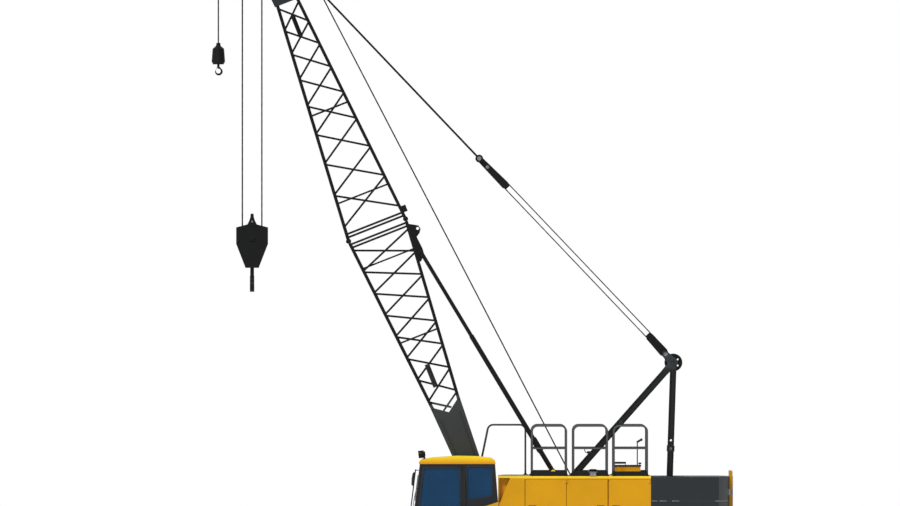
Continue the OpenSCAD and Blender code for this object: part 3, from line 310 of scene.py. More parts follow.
# %% Other finishes
def plain_finish(name, light, dark, grain, gloss, metal=0.0, relief=0.0003, stretch=(1, 1, 1)):
    """Two tones in a grain of one size, on metal or not."""
    finish, tree, shader = new_finish(name)
    pattern = cloud(tree, grain, 5.0, stretch)
    wired(tree, shader, Base_Color=mixed(tree, stretched(tree, pattern, 0.35, 0.68), dark, light), Metallic=metal,
          Roughness=stretched(tree, pattern, 0.3, 0.7, gloss + 0.1, gloss - 0.05))
    roughened(tree, shader, pattern, relief)
    return finish


bare_steel = plain_finish("bare_steel", shade(168, 170, 172), shade(120, 122, 126), 0.02, 0.32, 0.9)
aged_steel = plain_finish("aged_steel", shade(126, 128, 130), shade(92, 94, 97), 0.05, 0.5, 0.2)
greased_rope = plain_finish("greased_rope", shade(20, 20, 21), shade(7, 7, 8), 0.012, 0.6, 0.0, 0.0004)
track_iron = plain_finish("track_iron", shade(96, 88, 80), shade(52, 46, 42), 0.09, 0.62, 0.35, 0.002)
black_rubber = plain_finish("black_rubber", shade(34, 34, 35), shade(20, 20, 21), 0.03, 0.7)
cab_plastic = plain_finish("cab_plastic", shade(62, 63, 66), shade(46, 47, 50), 0.006, 0.6, 0.0, 0.0008)
seat_cloth = plain_finish("seat_cloth", shade(58, 60, 66), shade(34, 35, 40), 0.004, 0.85, 0.0, 0.0012)
lamp_glass = plain_finish("lamp_glass", shade(236, 238, 240), shade(206, 210, 214), 0.01, 0.12)
floor_finish = plain_finish("studio_grey", (0.80, 0.80, 0.80, 1), (0.77, 0.77, 0.77, 1), 3.0, 0.8, 0.0, 0.0)
floor.data.materials.append(floor_finish)


def tinted_glass():
    finish, tree, shader = new_finish("tinted_glass")
    film = stretched(tree, cloud(tree, 0.5, 3.0), 0.3, 0.7)
    wired(tree, shader, Base_Color=mixed(tree, film, shade(40, 89, 131), shade(36, 80, 118)),
          Roughness=stretched(tree, cloud(tree, 0.06), 0.3, 0.7, 0.03, 0.09), Transmission_Weight=0.55, IOR=1.25,
          Specular_IOR_Level=0.3)
    return finish


window_glass = tinted_glass()
print("other finishes ready")

# %% [markdown]
# ## Finishes on the solid parts
# Each solid part takes one finish. A table says which, so that nothing is left in its plain grey.

# %% Finishes on the solid parts
def node_finish(name):
    """Finds a part's finish by the first word in the table that its name starts with."""
    table = {
        "track_wheels": track_iron, "track_frame": slate_paint, "track_": track_iron, "carbody": slate_paint,
        "slew_ring": bare_steel, "revolving_frame": slate_paint, "house": house_paint, "handrails": rail_paint,
        "deck_fittings": deck_paint, "fuel_tank": yellow_paint, "counterweight": weight_paint,
        "engine": engine_paint, "winches": slate_paint, "gantry_sheaves": black_paint, "gantry": gantry_paint,
        "cab_glass": window_glass, "cab_door_glass": window_glass, "cab_roof": roof_paint,
        "cab_interior": cab_plastic, "cab_mirror": black_paint, "cab": two_tone, "boom_head_sheaves": black_paint,
        "boom_head_plates": slate_paint,
        "boom": boom_paint, "main_hook_block": black_paint, "main_hook": black_paint, "ball": black_paint,
        "lower_spreader": black_paint, "upper_spreader": black_paint, "pendants": black_paint,
        "backstop_tubes": black_paint, "backstop_rods": black_paint,
    }
    return next((table[word] for word in table if name.startswith(word)), greased_rope)


for name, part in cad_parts.items():
    for slot in part.material_slots:
        slot.material = node_finish(name)
print("finished", len(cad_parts), "solid parts")

# %% [markdown]
# ## Working by hand
# Everything new starts as a primitive at its real place. The transform is applied at once, so that positions
# in edit mode are positions on the crane. Faces are picked by where they are or which way they look.

# %% Helpers for modelling
AHEAD, LEFT, UP = Vector((1, 0, 0)), Vector((0, 1, 0)), Vector((0, 0, 1))


def clear_selection():
    bpy.ops.object.select_all(action="DESELECT")


def only(piece):
    """Selects one piece alone and makes it the active one."""
    clear_selection()
    piece.select_set(True)
    bpy.context.view_layer.objects.active = piece


def settled(piece):
    """Applies the piece's transform, so that its place is in its mesh."""
    only(piece)
    bpy.ops.object.transform_apply(location=True, rotation=True, scale=True)
    return piece


def block(low, high):
    """A box between two corners."""
    clear_selection()
    low, high = Vector(low), Vector(high)
    bpy.ops.mesh.primitive_cube_add(size=1, location=(low + high) / 2, scale=high - low)
    return settled(bpy.context.object)


def bar(start, end, radius, sides=16):
    """A round bar between two points."""
    clear_selection()
    start, end = Vector(start), Vector(end)
    bpy.ops.mesh.primitive_cylinder_add(vertices=sides, radius=radius, depth=(end - start).length,
                                        location=(start + end) / 2,
                                        rotation=(end - start).to_track_quat("Z", "Y").to_euler())
    return settled(bpy.context.object)


def ring(centre, axis, radius, thick, around=48, sides=8):
    """A torus round an axis."""
    clear_selection()
    bpy.ops.mesh.primitive_torus_add(major_radius=radius, minor_radius=thick, major_segments=around,
                                     minor_segments=sides, location=centre,
                                     rotation=Vector(axis).to_track_quat("Z", "Y").to_euler())
    return settled(bpy.context.object)


@contextmanager
def edit_mode(piece, kind="FACE"):
    """Opens a piece in edit mode with nothing picked, and closes it again."""
    only(piece)
    bpy.ops.object.mode_set(mode="EDIT")
    bpy.ops.mesh.select_mode(type=kind)
    bpy.ops.mesh.select_all(action="DESELECT")
    yield piece
    bpy.ops.object.mode_set(mode="OBJECT")


def pick(piece, test):
    """Picks the faces for which test(middle, normal) holds, in place of those picked before."""
    bpy.ops.mesh.select_all(action="DESELECT")
    mesh = bmesh.from_edit_mesh(piece.data)
    mesh.normal_update()
    for face in mesh.faces:
        if test(face.calc_center_median(), face.normal):
            face.select_set(True)
    mesh.select_flush_mode()
    bmesh.update_edit_mesh(piece.data)


def pull(x=0.0, y=0.0, z=0.0):
    """Extrudes what is picked and moves it."""
    bpy.ops.mesh.extrude_region_move(TRANSFORM_OT_translate={"value": (x, y, z)})


def sized(x, y, z, about=(0, 0, 0)):
    """Scales what is picked about a point."""
    bpy.ops.transform.resize(value=(x, y, z), center_override=about)


def shifted(x, y, z):
    """Moves what is picked."""
    bpy.ops.transform.translate(value=(x, y, z))


def inset(thickness, each=False):
    """Insets what is picked as one area, or each face on its own."""
    bpy.ops.mesh.inset(thickness=thickness, use_individual=each)


def pick_all():
    bpy.ops.mesh.select_all(action="SELECT")


def turn_outwards():
    """Turns all faces of the piece in edit mode to the outside."""
    pick_all()
    bpy.ops.mesh.normals_make_consistent(inside=False)


@contextmanager
def facing(piece, way):
    """Opens a piece in edit mode with the faces picked that look one way."""
    with edit_mode(piece):
        pick(piece, lambda middle, normal: normal.dot(way) > 0.9)
        yield piece


def panelled(piece, way, rim, rise):
    """Insets the faces that look one way, and moves what lies inside the rim along that way."""
    with facing(piece, way):
        inset(rim)
        pull(*(rise * way))
    return piece


def cut_across(piece, point, normal):
    """Cuts the whole piece along a plane and keeps both sides."""
    pick_all()
    bpy.ops.mesh.bisect(plane_co=point, plane_no=normal)


def modified(piece, kind, **settings):
    """Adds a modifier, sets its values and applies it."""
    only(piece)
    modifier = piece.modifiers.new(kind.title(), kind)
    for key, value in settings.items():
        setattr(modifier, key, value)
    bpy.ops.object.modifier_apply(modifier=modifier.name)
    return piece


def softened(piece, width, steps=2):
    """Rounds the piece's sharp edges."""
    return modified(piece, "BEVEL", width=width, segments=steps, limit_method="ANGLE", angle_limit=math.radians(35))


def repeated(piece, count, offset):
    """Lays equal pieces in a row."""
    return modified(piece, "ARRAY", use_relative_offset=False, use_constant_offset=True, count=count,
                    constant_offset_displace=offset)


def joined(parts):
    """Joins parts into the first of them."""
    clear_selection()
    for part in parts:
        part.select_set(True)
    bpy.context.view_layer.objects.active = parts[0]
    if len(parts) > 1:
        bpy.ops.object.join()
    return bpy.context.object


def placed(parts, place):
    """Moves each part's mesh by a matrix."""
    for part in parts:
        part.data.transform(place)
    return parts


def turned(place, angle, axis):
    """The matrix that turns a part about an axis and then moves it to its place."""
    return Matrix.Translation(place) @ Matrix.Rotation(angle, 4, axis)


def aimed(place, way):
    """The matrix that turns a part's Z along a direction and then moves it to its place."""
    return Matrix.Translation(place) @ way.to_track_quat("Z", "Y").to_matrix().to_4x4()


def copies(piece, places, keep=True):
    """Copies a piece, each with its own mesh, to a list of matrices. The first is kept too if keep is true."""
    made = [piece] if keep else []
    for place in places:
        other = piece.copy()
        other.data = piece.data.copy()
        bpy.context.collection.objects.link(other)
        other.data.transform(place)
        made.append(other)
    if not keep:
        bpy.data.objects.remove(piece)
    return made


def moves(*steps):
    return [Matrix.Translation(step) for step in steps]


def mirrored(parts):
    """Moves parts to the other side of the crane, with their faces turned right side out."""
    for part in placed(parts, Matrix.Scale(-1, 4, LEFT)):
        part.data.flip_normals()
    return parts


def across(piece):
    """A piece and its mirror image."""
    return [piece] + mirrored(copies(piece, moves((0, 0, 0)))[1:])


def both(parts):
    """The parts and their mirror images."""
    return [piece for part in parts for piece in across(part)]


def completed(name, parts, body, finish, replaces=(), smooth=35):
    """Joins parts into one piece, gives it its finish and lets it ride on a body."""
    for part in parts:
        if not part.data.materials:
            part.data.materials.append(finish)
    piece = joined(parts)
    piece.name = piece.data.name = name
    bpy.ops.object.shade_smooth_by_angle(angle=math.radians(smooth))
    if body:
        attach(piece, body)
    if replaces:
        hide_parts(*replaces)
    print(name, "faces:", len(piece.data.polygons))
    return piece


print("modelling helpers ready")

# %% [markdown]
# ## Track shoes
# A track is a chain of links with a steel shoe bolted on each. One shoe is modelled flat: its plate is cut in
# strips, two strips are pulled up as grouser bars, and links, pin and bolt heads go on. Copies are then set
# round the loop, as a fitter lays a track. Bolt heads have six sides, which keeps each shoe light.

# %% One track shoe
track_z, track_y, seat_r, straight = 0.510, 1.770, 0.448, 2.215
shoes = 60
loop = 4 * straight + 2 * math.pi * seat_r
step = loop / shoes
shoe_half, shoe_thick = 0.38, 0.040


def track_shoe():
    plate = block((-0.45 * step, -shoe_half, 0.004), (0.45 * step, shoe_half, shoe_thick))
    with edit_mode(plate):
        for share in (-0.23, -0.12, 0.12, 0.23):
            cut_across(plate, (share * step, 0, 0), AHEAD)
        pick(plate, lambda middle, normal: normal.z > 0.9 and 0.12 < abs(middle.x) / step < 0.23)
        pull(z=0.0195)
        sized(0.95, 0.985, 1)
    parts = [plate]
    for side in (-1, 1):
        link = block((-0.52 * step, side * 0.125 - 0.018, -0.080), (0.50 * step, side * 0.125 + 0.018, 0.003))
        with facing(link, -UP):
            sized(0.7, 1, 1)
        parts.append(link)
    parts.append(bar((0.5 * step, -0.150, -0.042), (0.5 * step, 0.150, -0.042), 0.022, 8))
    bolt = bar((0, 0, shoe_thick - 0.004), (0, 0, shoe_thick + 0.014), 0.017, 6)
    parts += copies(bolt, moves(*[(x, y, 0) for x in (-0.012, 0.012) for y in (-0.17, -0.09, 0.09, 0.17)]), keep=False)
    return joined(parts)


def place_on_loop(distance):
    """The matrix that sets a flat shoe on the loop at a distance from the middle of the top run."""
    bend = math.pi * seat_r
    distance %= loop
    top, front, bottom = straight, straight + bend, 3 * straight + bend
    if distance < top or distance >= bottom + bend:
        x, z, angle = (distance if distance < top else distance - loop), seat_r, 0
    elif distance < front:
        angle = (distance - top) / bend * math.pi
        x, z = straight + seat_r * math.sin(angle), seat_r * math.cos(angle)
    elif distance < bottom:
        x, z, angle = straight - (distance - front), -seat_r, math.pi
    else:
        angle = math.pi + (distance - bottom) / bend * math.pi
        x, z = -straight + seat_r * math.sin(angle), seat_r * math.cos(angle)
    return turned((x, 0, track_z + z), angle, "Y")


print("one shoe every", round(step * 1000), "mm")

# %% Both tracks
for side, sign in (("left", 1), ("right", -1)):
    middle = Matrix.Translation((0, sign * track_y, 0))
    laid = copies(track_shoe(), [middle @ place_on_loop((i + 0.5) * step) for i in range(shoes)], keep=False)
    completed(f"track_chain_{side}", laid, "undercarriage", track_iron, [f"track_{side}"], 30)

# %% [markdown]
# ## Wire rope
# A wire rope is six strands laid round a core. A circle of twelve points has every second point drawn in,
# which gives six lobes, and a Screw modifier sweeps and twists it along the rope, one turn in about six
# diameters. That is real strand geometry, with no picture needed.

# %% Laid rope
def closed(piece):
    """Fills a swept piece's open ends."""
    with edit_mode(piece, "EDGE"):
        pick_all()
        bpy.ops.mesh.fill_holes(sides=0)
        turn_outwards()


def roped(name, ropes, body=None, replaces=()):
    return completed(name, ropes, body, greased_rope, replaces, 80)


def laid_rope(start, end, radius):
    start, end = Vector(start), Vector(end)
    length = (end - start).length
    rounds = max(1, round(length / (12.5 * radius)))
    clear_selection()
    bpy.ops.mesh.primitive_circle_add(vertices=12, radius=radius, location=(0, 0, 0))
    rope = bpy.context.object
    with edit_mode(rope, "VERT"):
        mesh = bmesh.from_edit_mesh(rope.data)
        for point in mesh.verts:
            point.select_set(point.index % 2 == 1)
        bmesh.update_edit_mesh(rope.data)
        sized(0.84, 0.84, 1)
    closed(modified(rope, "SCREW", axis="Z", angle=2 * math.pi * rounds, screw_offset=length,
                    steps=7 * rounds, render_steps=7 * rounds))
    rope.data.transform(aimed(start, end - start))
    return rope


rope_thick, stay_thick = 0.0155, 0.012
print("hoist rope", rope_thick * 2000, "mm, derrick rope", stay_thick * 2000, "mm")

# %% [markdown]
# ## Places on the boom
# The boom leans at 68.5 degrees. A small function turns a distance along the boom and a height above its
# axis into a place on the crane, and the same turn sets a finished part on the boom.

# %% The boom's own coordinates
boom_lean = math.radians(68.5)
boom_foot = Vector((0.990, 0, 1.970))
on_boom_matrix = turned(boom_foot, -boom_lean, "Y")


def on_boom(along, behind, y=0.0):
    return on_boom_matrix @ Vector((along, y, behind))


head_sheave, aux_sheave, guide_sheave = on_boom(13.0, -0.239), on_boom(13.483, -0.586), on_boom(13.016, 0.355)
pendant_pin, stay_pin = on_boom(13.0, 0.132), Vector((-2.6375, 0, 5.430))
hoist_drum, luff_drum = Vector((-0.750, 0, 2.300)), Vector((-1.780, 0, 2.140))
sheave_r, drum_r, stay_sheave_r = 0.203, 0.200, 0.060
block_z, ball_top = 7.860, 11.856
fall_lanes, hoist_lanes, stay_lanes = (-0.07, 0.07), (-0.12, 0.12), (-0.18, -0.06, 0.06, 0.18)
low_block, high_block, block_rise = 0.48, 4.89, 0.017
stay_way = (pendant_pin - stay_pin).normalized()
stay_up = LEFT.cross(stay_way) * -1
hoist_way = (guide_sheave - hoist_drum).normalized()
hoist_up = LEFT.cross(hoist_way) * -1
print("head sheave at", [round(v, 3) for v in head_sheave])

# %% [markdown]
# ## Hoist and derrick ropes
# Each rope takes the place of a plain solid one.

# %% Rope falls
falls = [laid_rope((head_sheave.x + x, y, block_z), (head_sheave.x + x, y, head_sheave.z), rope_thick)
         for x in (-sheave_r, sheave_r) for y in fall_lanes]
falls = roped("main_fall_ropes", falls, None, ["main_falls"])
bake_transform(falls)

aux_x, aux_low = aux_sheave.x + sheave_r, ball_top + 0.0645
single = laid_rope((aux_x, 0, aux_low), (aux_x, 0, aux_sheave.z), rope_thick)
single = roped("aux_fall_rope", [single], None, ["aux_fall"])
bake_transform(single)


def on_stay(along, up, y):
    return stay_pin + stay_way * along + stay_up * up + y * LEFT


reeving = [laid_rope(on_stay(low_block, block_rise + up, y), on_stay(high_block, block_rise + up, y), stay_thick)
           for up in (-stay_sheave_r, stay_sheave_r) for y in stay_lanes]
reeving = roped("derrick_reeving", reeving, None, ["derrick_ropes"])
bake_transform(reeving)

hoist_length = (guide_sheave - hoist_drum).length
off_drum = hoist_drum + hoist_up * drum_r
hoist = [laid_rope(off_drum + y * LEFT, off_drum + hoist_way * hoist_length + y * LEFT, rope_thick)
         for y in hoist_lanes]
hoist = roped("hoist_ropes", hoist, None, ["hoist_lines", "hoist_line_ends"])
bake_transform(hoist)

# %% [markdown]
# ## Rope over the sheaves and on the drums
# A rope leaves its fall and goes on round the sheave, so each groove holds a ring of rope. A drum holds it as a
# tight coil: a small circle is swept round the drum by a Screw modifier that moves on one rope's width a turn.

# %% Rope on sheaves and drums
def rope_rings(centres, radius, thick):
    return [ring(centre, LEFT, radius, thick, 48, 8) for centre in centres]


def in_lanes(axle, lanes):
    return [axle + y * LEFT for y in lanes]


grooves = in_lanes(head_sheave, fall_lanes) + [aux_sheave] + in_lanes(guide_sheave, hoist_lanes)
head_rings = rope_rings(grooves, sheave_r - 0.0005, rope_thick)
boom_way = on_boom(1, 0) - boom_foot
over_head = [laid_rope(guide_sheave + far * LEFT + boom_way * drum_r,
                       head_sheave + near * LEFT + boom_way * sheave_r, rope_thick)
             for far, near in zip(hoist_lanes, fall_lanes)]
roped("rope_over_head", head_rings + over_head, "boom")
block_axle = Vector((head_sheave.x, 0, block_z))
roped("rope_under_block", rope_rings(in_lanes(block_axle, fall_lanes), sheave_r, rope_thick), "main_block")
for body, along in (("stay", low_block), ("pendant_stay", high_block)):
    axles = in_lanes(on_stay(along, block_rise, 0), stay_lanes)
    roped(f"rope_round_{body}", rope_rings(axles, stay_sheave_r, stay_thick), body)


def coil(centre, radius, thick, first_y, rounds, pitch):
    clear_selection()
    bpy.ops.mesh.primitive_circle_add(vertices=8, radius=thick, location=(radius, 0, 0),
                                      rotation=(math.pi / 2, 0, 0))
    winding = settled(bpy.context.object)
    closed(modified(winding, "SCREW", axis="Z", angle=2 * math.pi, screw_offset=pitch, iterations=rounds,
                    steps=24, render_steps=24))
    winding.data.transform(turned(centre + first_y * LEFT, -math.pi / 2, "X"))
    return winding


rounds, pitch, web_gap = 12, 0.0285, 0.066
windings = [coil(hoist_drum, drum_r, rope_thick, y, rounds, pitch) for y in (web_gap, -web_gap - rounds * pitch)]
luff_r, luff_start, luff_rounds, luff_pitch = 0.1715, -0.256, 22, 0.0225
windings.append(coil(luff_drum, luff_r, stay_thick, luff_start, luff_rounds, luff_pitch))
roped("drum_windings", windings, "upper")

# %% [markdown]
# ## Flat outlines and bent tubes
# Seals and brackets start as a flat polygon, and handles, hoses and pipes as a curve with a round section that
# is turned into a mesh. These are the shapes that a fitter cuts from sheet or bends from tube.

# %% Outlines, frames and tubes
def outline(points, side):
    """A flat polygon of X and Z points at one Y."""
    clear_selection()
    bpy.ops.mesh.primitive_circle_add(vertices=len(points), fill_type="NGON")
    flat = bpy.context.object
    for vertex, (x, z) in zip(flat.data.vertices, points):
        vertex.co = (x, side, z)
    return flat


def sheet_metal(points, side, thick):
    """A plate of that outline, from side to side + thick."""
    flat = outline(points, side)
    with edit_mode(flat):
        pick_all()
        pull(y=thick)
        turn_outwards()
    return flat


def window_frame(points, side, width, thick):
    """A strip round an opening: the polygon is inset, its middle taken out and the rest drawn up."""
    flat = outline(points, side)
    with edit_mode(flat):
        pick_all()
        inset(width)
        bpy.ops.mesh.delete(type="FACE")
        pick_all()
        pull(y=thick)
        turn_outwards()
    return flat


def tube(points, radius, smooth=True, sides=3):
    """A bent tube through points."""
    clear_selection()
    bpy.ops.curve.primitive_bezier_curve_add(location=(0, 0, 0))
    curve = bpy.context.object
    line = curve.data.splines[0]
    line.bezier_points.add(len(points) - 2)
    for knot, point in zip(line.bezier_points, points):
        knot.co = point
        knot.handle_left_type = knot.handle_right_type = "AUTO" if smooth else "VECTOR"
    curve.data.bevel_depth, curve.data.bevel_resolution = radius, sides
    curve.data.resolution_u, curve.data.use_fill_caps = 5, True
    bpy.ops.object.convert(target="MESH")
    return bpy.context.object


def handle(start, end, out, radius):
    """A grab handle: two short feet and a grip, bent from one tube."""
    start, end, out = Vector(start), Vector(end), Vector(out)
    lead = (end - start) * 0.06
    return tube([start, start + out * 0.85 + lead * 0.15, start + out + lead, end + out - lead,
                 end + out * 0.85 - lead * 0.15, end], radius)


def bolts(places, axis, radius, length, sides=6):
    """Bolt heads at places, standing out along an axis."""
    axis = Vector(axis)
    head = bar(-0.25 * length * axis, length * axis, radius, sides)
    panelled(head, axis, 0.3 * radius, 0.25 * length)
    return copies(head, moves(*places), keep=False)


print("outline and tube helpers ready")

# %% [markdown]
# ## Cab windows and door
# Rubber seals press each pane into its opening. They are pushed on by hand on the real cab, as one strip with
# rounded corners, so each is one frame that follows the window's outline.

# %% Seals, handles and the wiper
cab_left, cab_right = 1.6003, 0.6203
door_pane = [(1.640, 2.195), (2.482, 1.916), (2.504, 2.285), (2.410, 3.087), (1.640, 3.087)]
rear_pane = [(0.968, 2.520), (1.020, 2.480), (1.510, 2.390), (1.510, 3.115), (0.968, 3.115)]
right_pane = [(0.968, 2.520), (1.020, 2.480), (1.510, 2.390), (2.504, 2.285), (2.410, 3.115), (0.968, 3.115)]
seals = [softened(window_frame(points, side, 0.020, thick), 0.003)
         for points, side, thick in ((rear_pane, cab_left - 0.006, 0.010), (right_pane, cab_right + 0.006, -0.010))]
completed("window_seals", seals, "upper", black_rubber)
completed("door_seal", [softened(window_frame(door_pane, cab_left - 0.006, 0.020, 0.010), 0.003)],
          "cab_door", black_rubber)


def door_handle():
    """A pressed cup with a lever across it."""
    cup = block((2.215, cab_left - 0.004, 1.862), (2.365, cab_left + 0.006, 1.948))
    panelled(cup, LEFT, 0.008, -0.008)
    lever = block((2.24, cab_left + 0.022, 1.894), (2.37, cab_left + 0.032, 1.918))
    return [softened(cup, 0.002), softened(lever, 0.004)]


completed("door_handle", door_handle(), "cab_door", black_rubber)
grips = [handle((1.555, cab_left - 0.005, 1.95), (1.555, cab_left - 0.005, 2.85), (0, 0.055, 0), 0.013),
         handle((2.56, cab_left - 0.02, 1.75), (2.605, cab_left - 0.02, 2.15), (0.05, 0, 0), 0.011)]
completed("grab_handles", grips, "upper", black_rubber)
screen_lean = Vector((-0.108, 0, 0.880)).normalized()
screen_out = Vector((0.993, 0, 0.122))
wiper_foot = Vector((2.574, 1.11, 2.235)) + screen_out * 0.012
arm = [wiper_foot + screen_lean * along + screen_out * out for along, out in ((0, 0), (0.05, 0.03), (0.42, 0.016))]
blade = softened(block((-0.004, -0.008, -0.27), (0.010, 0.008, 0.27)), 0.003)
blade.data.transform(turned(arm[2], -math.radians(7), "Y"))
hub = bar(wiper_foot - screen_out * 0.02, wiper_foot + screen_out * 0.02, 0.02, 12)
completed("screen_wiper", [tube(arm, 0.007), blade, hub], "upper", black_rubber)

# %% [markdown]
# ## Roof lamp
# A work lamp stands on a stalk at the roof's front edge. Its shell is spun from sheet, so a cylinder is drawn
# in at the back, and the lens is a second piece that sits inside the rim.

# %% Roof lamp
def lamp(place, way, size, deep=0.9):
    """A round lamp that looks along a direction: shell and lens."""
    place, way = Vector(place), Vector(way).normalized()
    shell = bar((0, 0, -deep * size), (0, 0, 0), size, 24)
    panelled(shell, UP, 0.12 * size, -0.15 * size)
    panelled(shell, -UP, 0.35 * size, 0.35 * size)
    lens = bar((0, 0, -0.16 * size), (0, 0, -0.05 * size), 0.86 * size, 24)
    with facing(lens, UP):
        inset(0.4 * size)
        shifted(0, 0, 0.08 * size)
    placed((shell, lens), aimed(place, way))
    lens.data.materials.append(lamp_glass)
    shell.data.materials.append(black_paint)
    return [softened(shell, 0.003), lens]


lamp_x, lamp_y = 2.385, 1.44
roof_lamp = lamp((2.510, lamp_y, 3.352), (1, 0, -0.12), 0.078, 1.5)
roof_lamp += [tube([(lamp_x, lamp_y, 3.24), (lamp_x, lamp_y, 3.30), (2.42, lamp_y, 3.36)], 0.018),
              softened(block((2.35, 1.40, 3.250), (2.43, 1.48, 3.275)), 0.003)]
completed("roof_lamp", roof_lamp, "upper", black_paint)

# %% [markdown]
# ## Operator's place
# The seat is foam under cloth on a steel pedestal, with a lever console on each side. Foam bulges between its
# edges, so each cushion is a block that is cut finer, smoothed and rounded with a subdivision surface.

# %% Seat and consoles
seat_y, cab_floor = 1.1103, 1.3703


def cushion(low, high, lean=0.0):
    pad = block(low, high)
    with edit_mode(pad):
        pick_all()
        bpy.ops.mesh.subdivide(number_cuts=4)
        bpy.ops.mesh.vertices_smooth(factor=0.5, repeat=2)
        pick(pad, lambda middle, normal: abs(middle.y - seat_y) < 0.08 and max(normal.x, normal.z) > 0.8)
        shifted(-0.010 if lean else 0, 0, -0.012)
    modified(pad, "SUBSURF", levels=2, render_levels=2)
    middle = (Vector(low) + Vector(high)) / 2
    pad.data.transform(turned(middle, lean, "Y") @ Matrix.Translation(-middle))
    return pad


pads = [cushion((1.25, 0.86, 1.61), (1.79, 1.36, 1.79)), cushion((1.17, 0.88, 1.72), (1.33, 1.34, 2.33), -0.12),
        cushion((1.15, 0.98, 2.36), (1.25, 1.24, 2.56), -0.12)]
seat = completed("operator_seat", pads, "upper", seat_cloth)


def console(side):
    box = block((1.50, side - 0.06, cab_floor), (1.92, side + 0.06, 1.93))
    with facing(box, UP):
        inset(0.015)
        pull(z=0.02)
        bpy.ops.mesh.bevel(offset=0.008, segments=2)
    sticks = []
    for x in (1.72, 1.83):
        grip = bar((x + 0.02, side, 2.09), (x + 0.03, side, 2.17), 0.018, 12)
        sticks += [tube([(x, side, 1.94), (x + 0.01, side, 2.03), (x + 0.022, side, 2.10)], 0.006),
                   softened(grip, 0.008, 3), bar((x, side, 1.945), (x, side, 1.965), 0.028, 12)]
    return [box] + sticks


pedestal = block((1.33, 0.91, cab_floor), (1.71, 1.31, 1.63))
with edit_mode(pedestal):
    for z in (1.45, 1.55):
        cut_across(pedestal, (0, 0, z), UP)
    pick(pedestal, lambda middle, normal: abs(normal.z) < 0.1 and 1.45 < middle.z < 1.55)
    inset(0.01)
    sized(0.93, 0.93, 1, (1.52, 1.11, 1.5))
panel = block((2.18, 0.93, cab_floor), (2.30, 1.29, 1.95))
with facing(panel, UP):
    sized(0.6, 1, 1, (2.30, 1.11, 1.95))
    pull(z=0.05)
screen = softened(block((2.20, 1.00, 2.03), (2.225, 1.22, 2.17)), 0.006)
completed("cab_furniture", console(0.7803) + console(1.4403) + [pedestal, softened(panel, 0.01), screen,
          bar((2.24, 1.11, 1.98), (2.24, 1.11, 2.05), 0.012, 12)],
          "upper", cab_plastic, ["cab_interior"])

# %% [markdown]
# ## House doors
# Each service door has a pressed black latch, and the right-hand doors breathe through louvres. A louvre is
# pressed out of the sheet, so one slat is a thin strip whose lower edge is drawn out, and an array repeats it.

# %% Latches and louvres
def on_side(parts, sign):
    """Parts modelled on the left, moved to the right if the sign is negative."""
    return mirrored(parts) if sign < 0 else parts


def door_latch(x):
    cup = block((x - 0.080, 1.5615, 2.212), (x + 0.080, 1.566, 2.298))
    panelled(cup, LEFT, 0.012, -0.003)
    paddle = block((x - 0.055, 1.562, 2.228), (x + 0.055, 1.572, 2.266))
    with facing(paddle, -UP):
        shifted(0, 0.006, -0.004)
    return [softened(cup, 0.002), softened(paddle, 0.003), bar((x, 1.560, 2.282), (x, 1.570, 2.282), 0.011, 16)]


def louvres(x, low, rows):
    slat = block((x - 0.29, 1.5495, low), (x + 0.29, 1.5535, low + 0.026))
    with facing(slat, -UP):
        shifted(0, 0.014, 0)
    return repeated(slat, rows, (0, 0, 0.042))


door_places = {"front": (-0.130, 0.147), "middle": (-0.992, -1.273), "rear": (-1.874, -1.593)}
for sign, side in ((1, "left"), (-1, "right")):
    for door, (middle_x, latch_x) in door_places.items():
        completed(f"latch_{side}_{door}", on_side(door_latch(latch_x), sign), f"door_{side}_{door}",
                  black_rubber)
        if sign < 0:
            completed(f"louvres_{door}", on_side([louvres(middle_x, 1.56, 12), louvres(middle_x, 2.36, 9)], sign),
                      f"door_{side}_{door}", yellow_paint)

# %% [markdown]
# ## Walkway on the houses
# The deck on both sides has chequered plate. Its raised bars are rolled into the sheet: one bar is set at an
# angle, a second crosses it, and two arrays spread the pair. Flanges bolt each handrail foot to the deck.

# %% Chequered plate and rail flanges
deck, rail_y = 2.9062, 1.470


def chequered(low, high, deck=deck):
    plate = softened(block((*low, deck), (*high, deck + 0.004)), 0.0015, 1)
    lugs = []
    for turn, shift in ((0.6, 0.0), (-0.6, 0.03)):
        lug = block((-0.014, -0.003, 0), (0.014, 0.003, 0.0022))
        with facing(lug, UP):
            sized(0.7, 0.5, 1)
        lug.data.transform(turned((low[0] + 0.03 + shift, low[1] + 0.03 + shift, deck + 0.0038), turn, "Z"))
        for axis, offset in ((0, 0.06 * AHEAD), (1, 0.06 * LEFT)):
            repeated(lug, int((high[axis] - low[axis] - 0.06) / 0.06), offset)
        lugs.append(lug)
    return [plate] + lugs


walkway = chequered((-0.15, 1.00), (0.78, 1.42)) + chequered((-1.46, 1.20), (-0.46, 1.42))
completed("walkway_left", walkway, "upper", slate_paint, (), 20)
walkway = chequered((-2.25, -1.42), (-1.05, -0.80)) + chequered((-0.15, -1.42), (0.78, -0.80))
completed("walkway_right", walkway, "upper", slate_paint, (), 20)
feet = [(x, sign * rail_y, deck) for x in (0.150, -0.560, -0.710, -1.410, -1.550, -2.240) for sign in (1, -1)]
flange = bar((0, 0, 0.0003), (0, 0, 0.012), 0.052, 20)
panelled(flange, UP, 0.024, 0.022)
flanges = copies(flange, moves(*feet, (0.279, -rail_y, deck)), keep=False)
flanges += bolts([(x + dx, y, deck + 0.012) for x, y, _ in feet for dx in (-0.038, 0.038)], UP, 0.007, 0.007)
completed("rail_flanges", flanges, "upper", rail_paint)

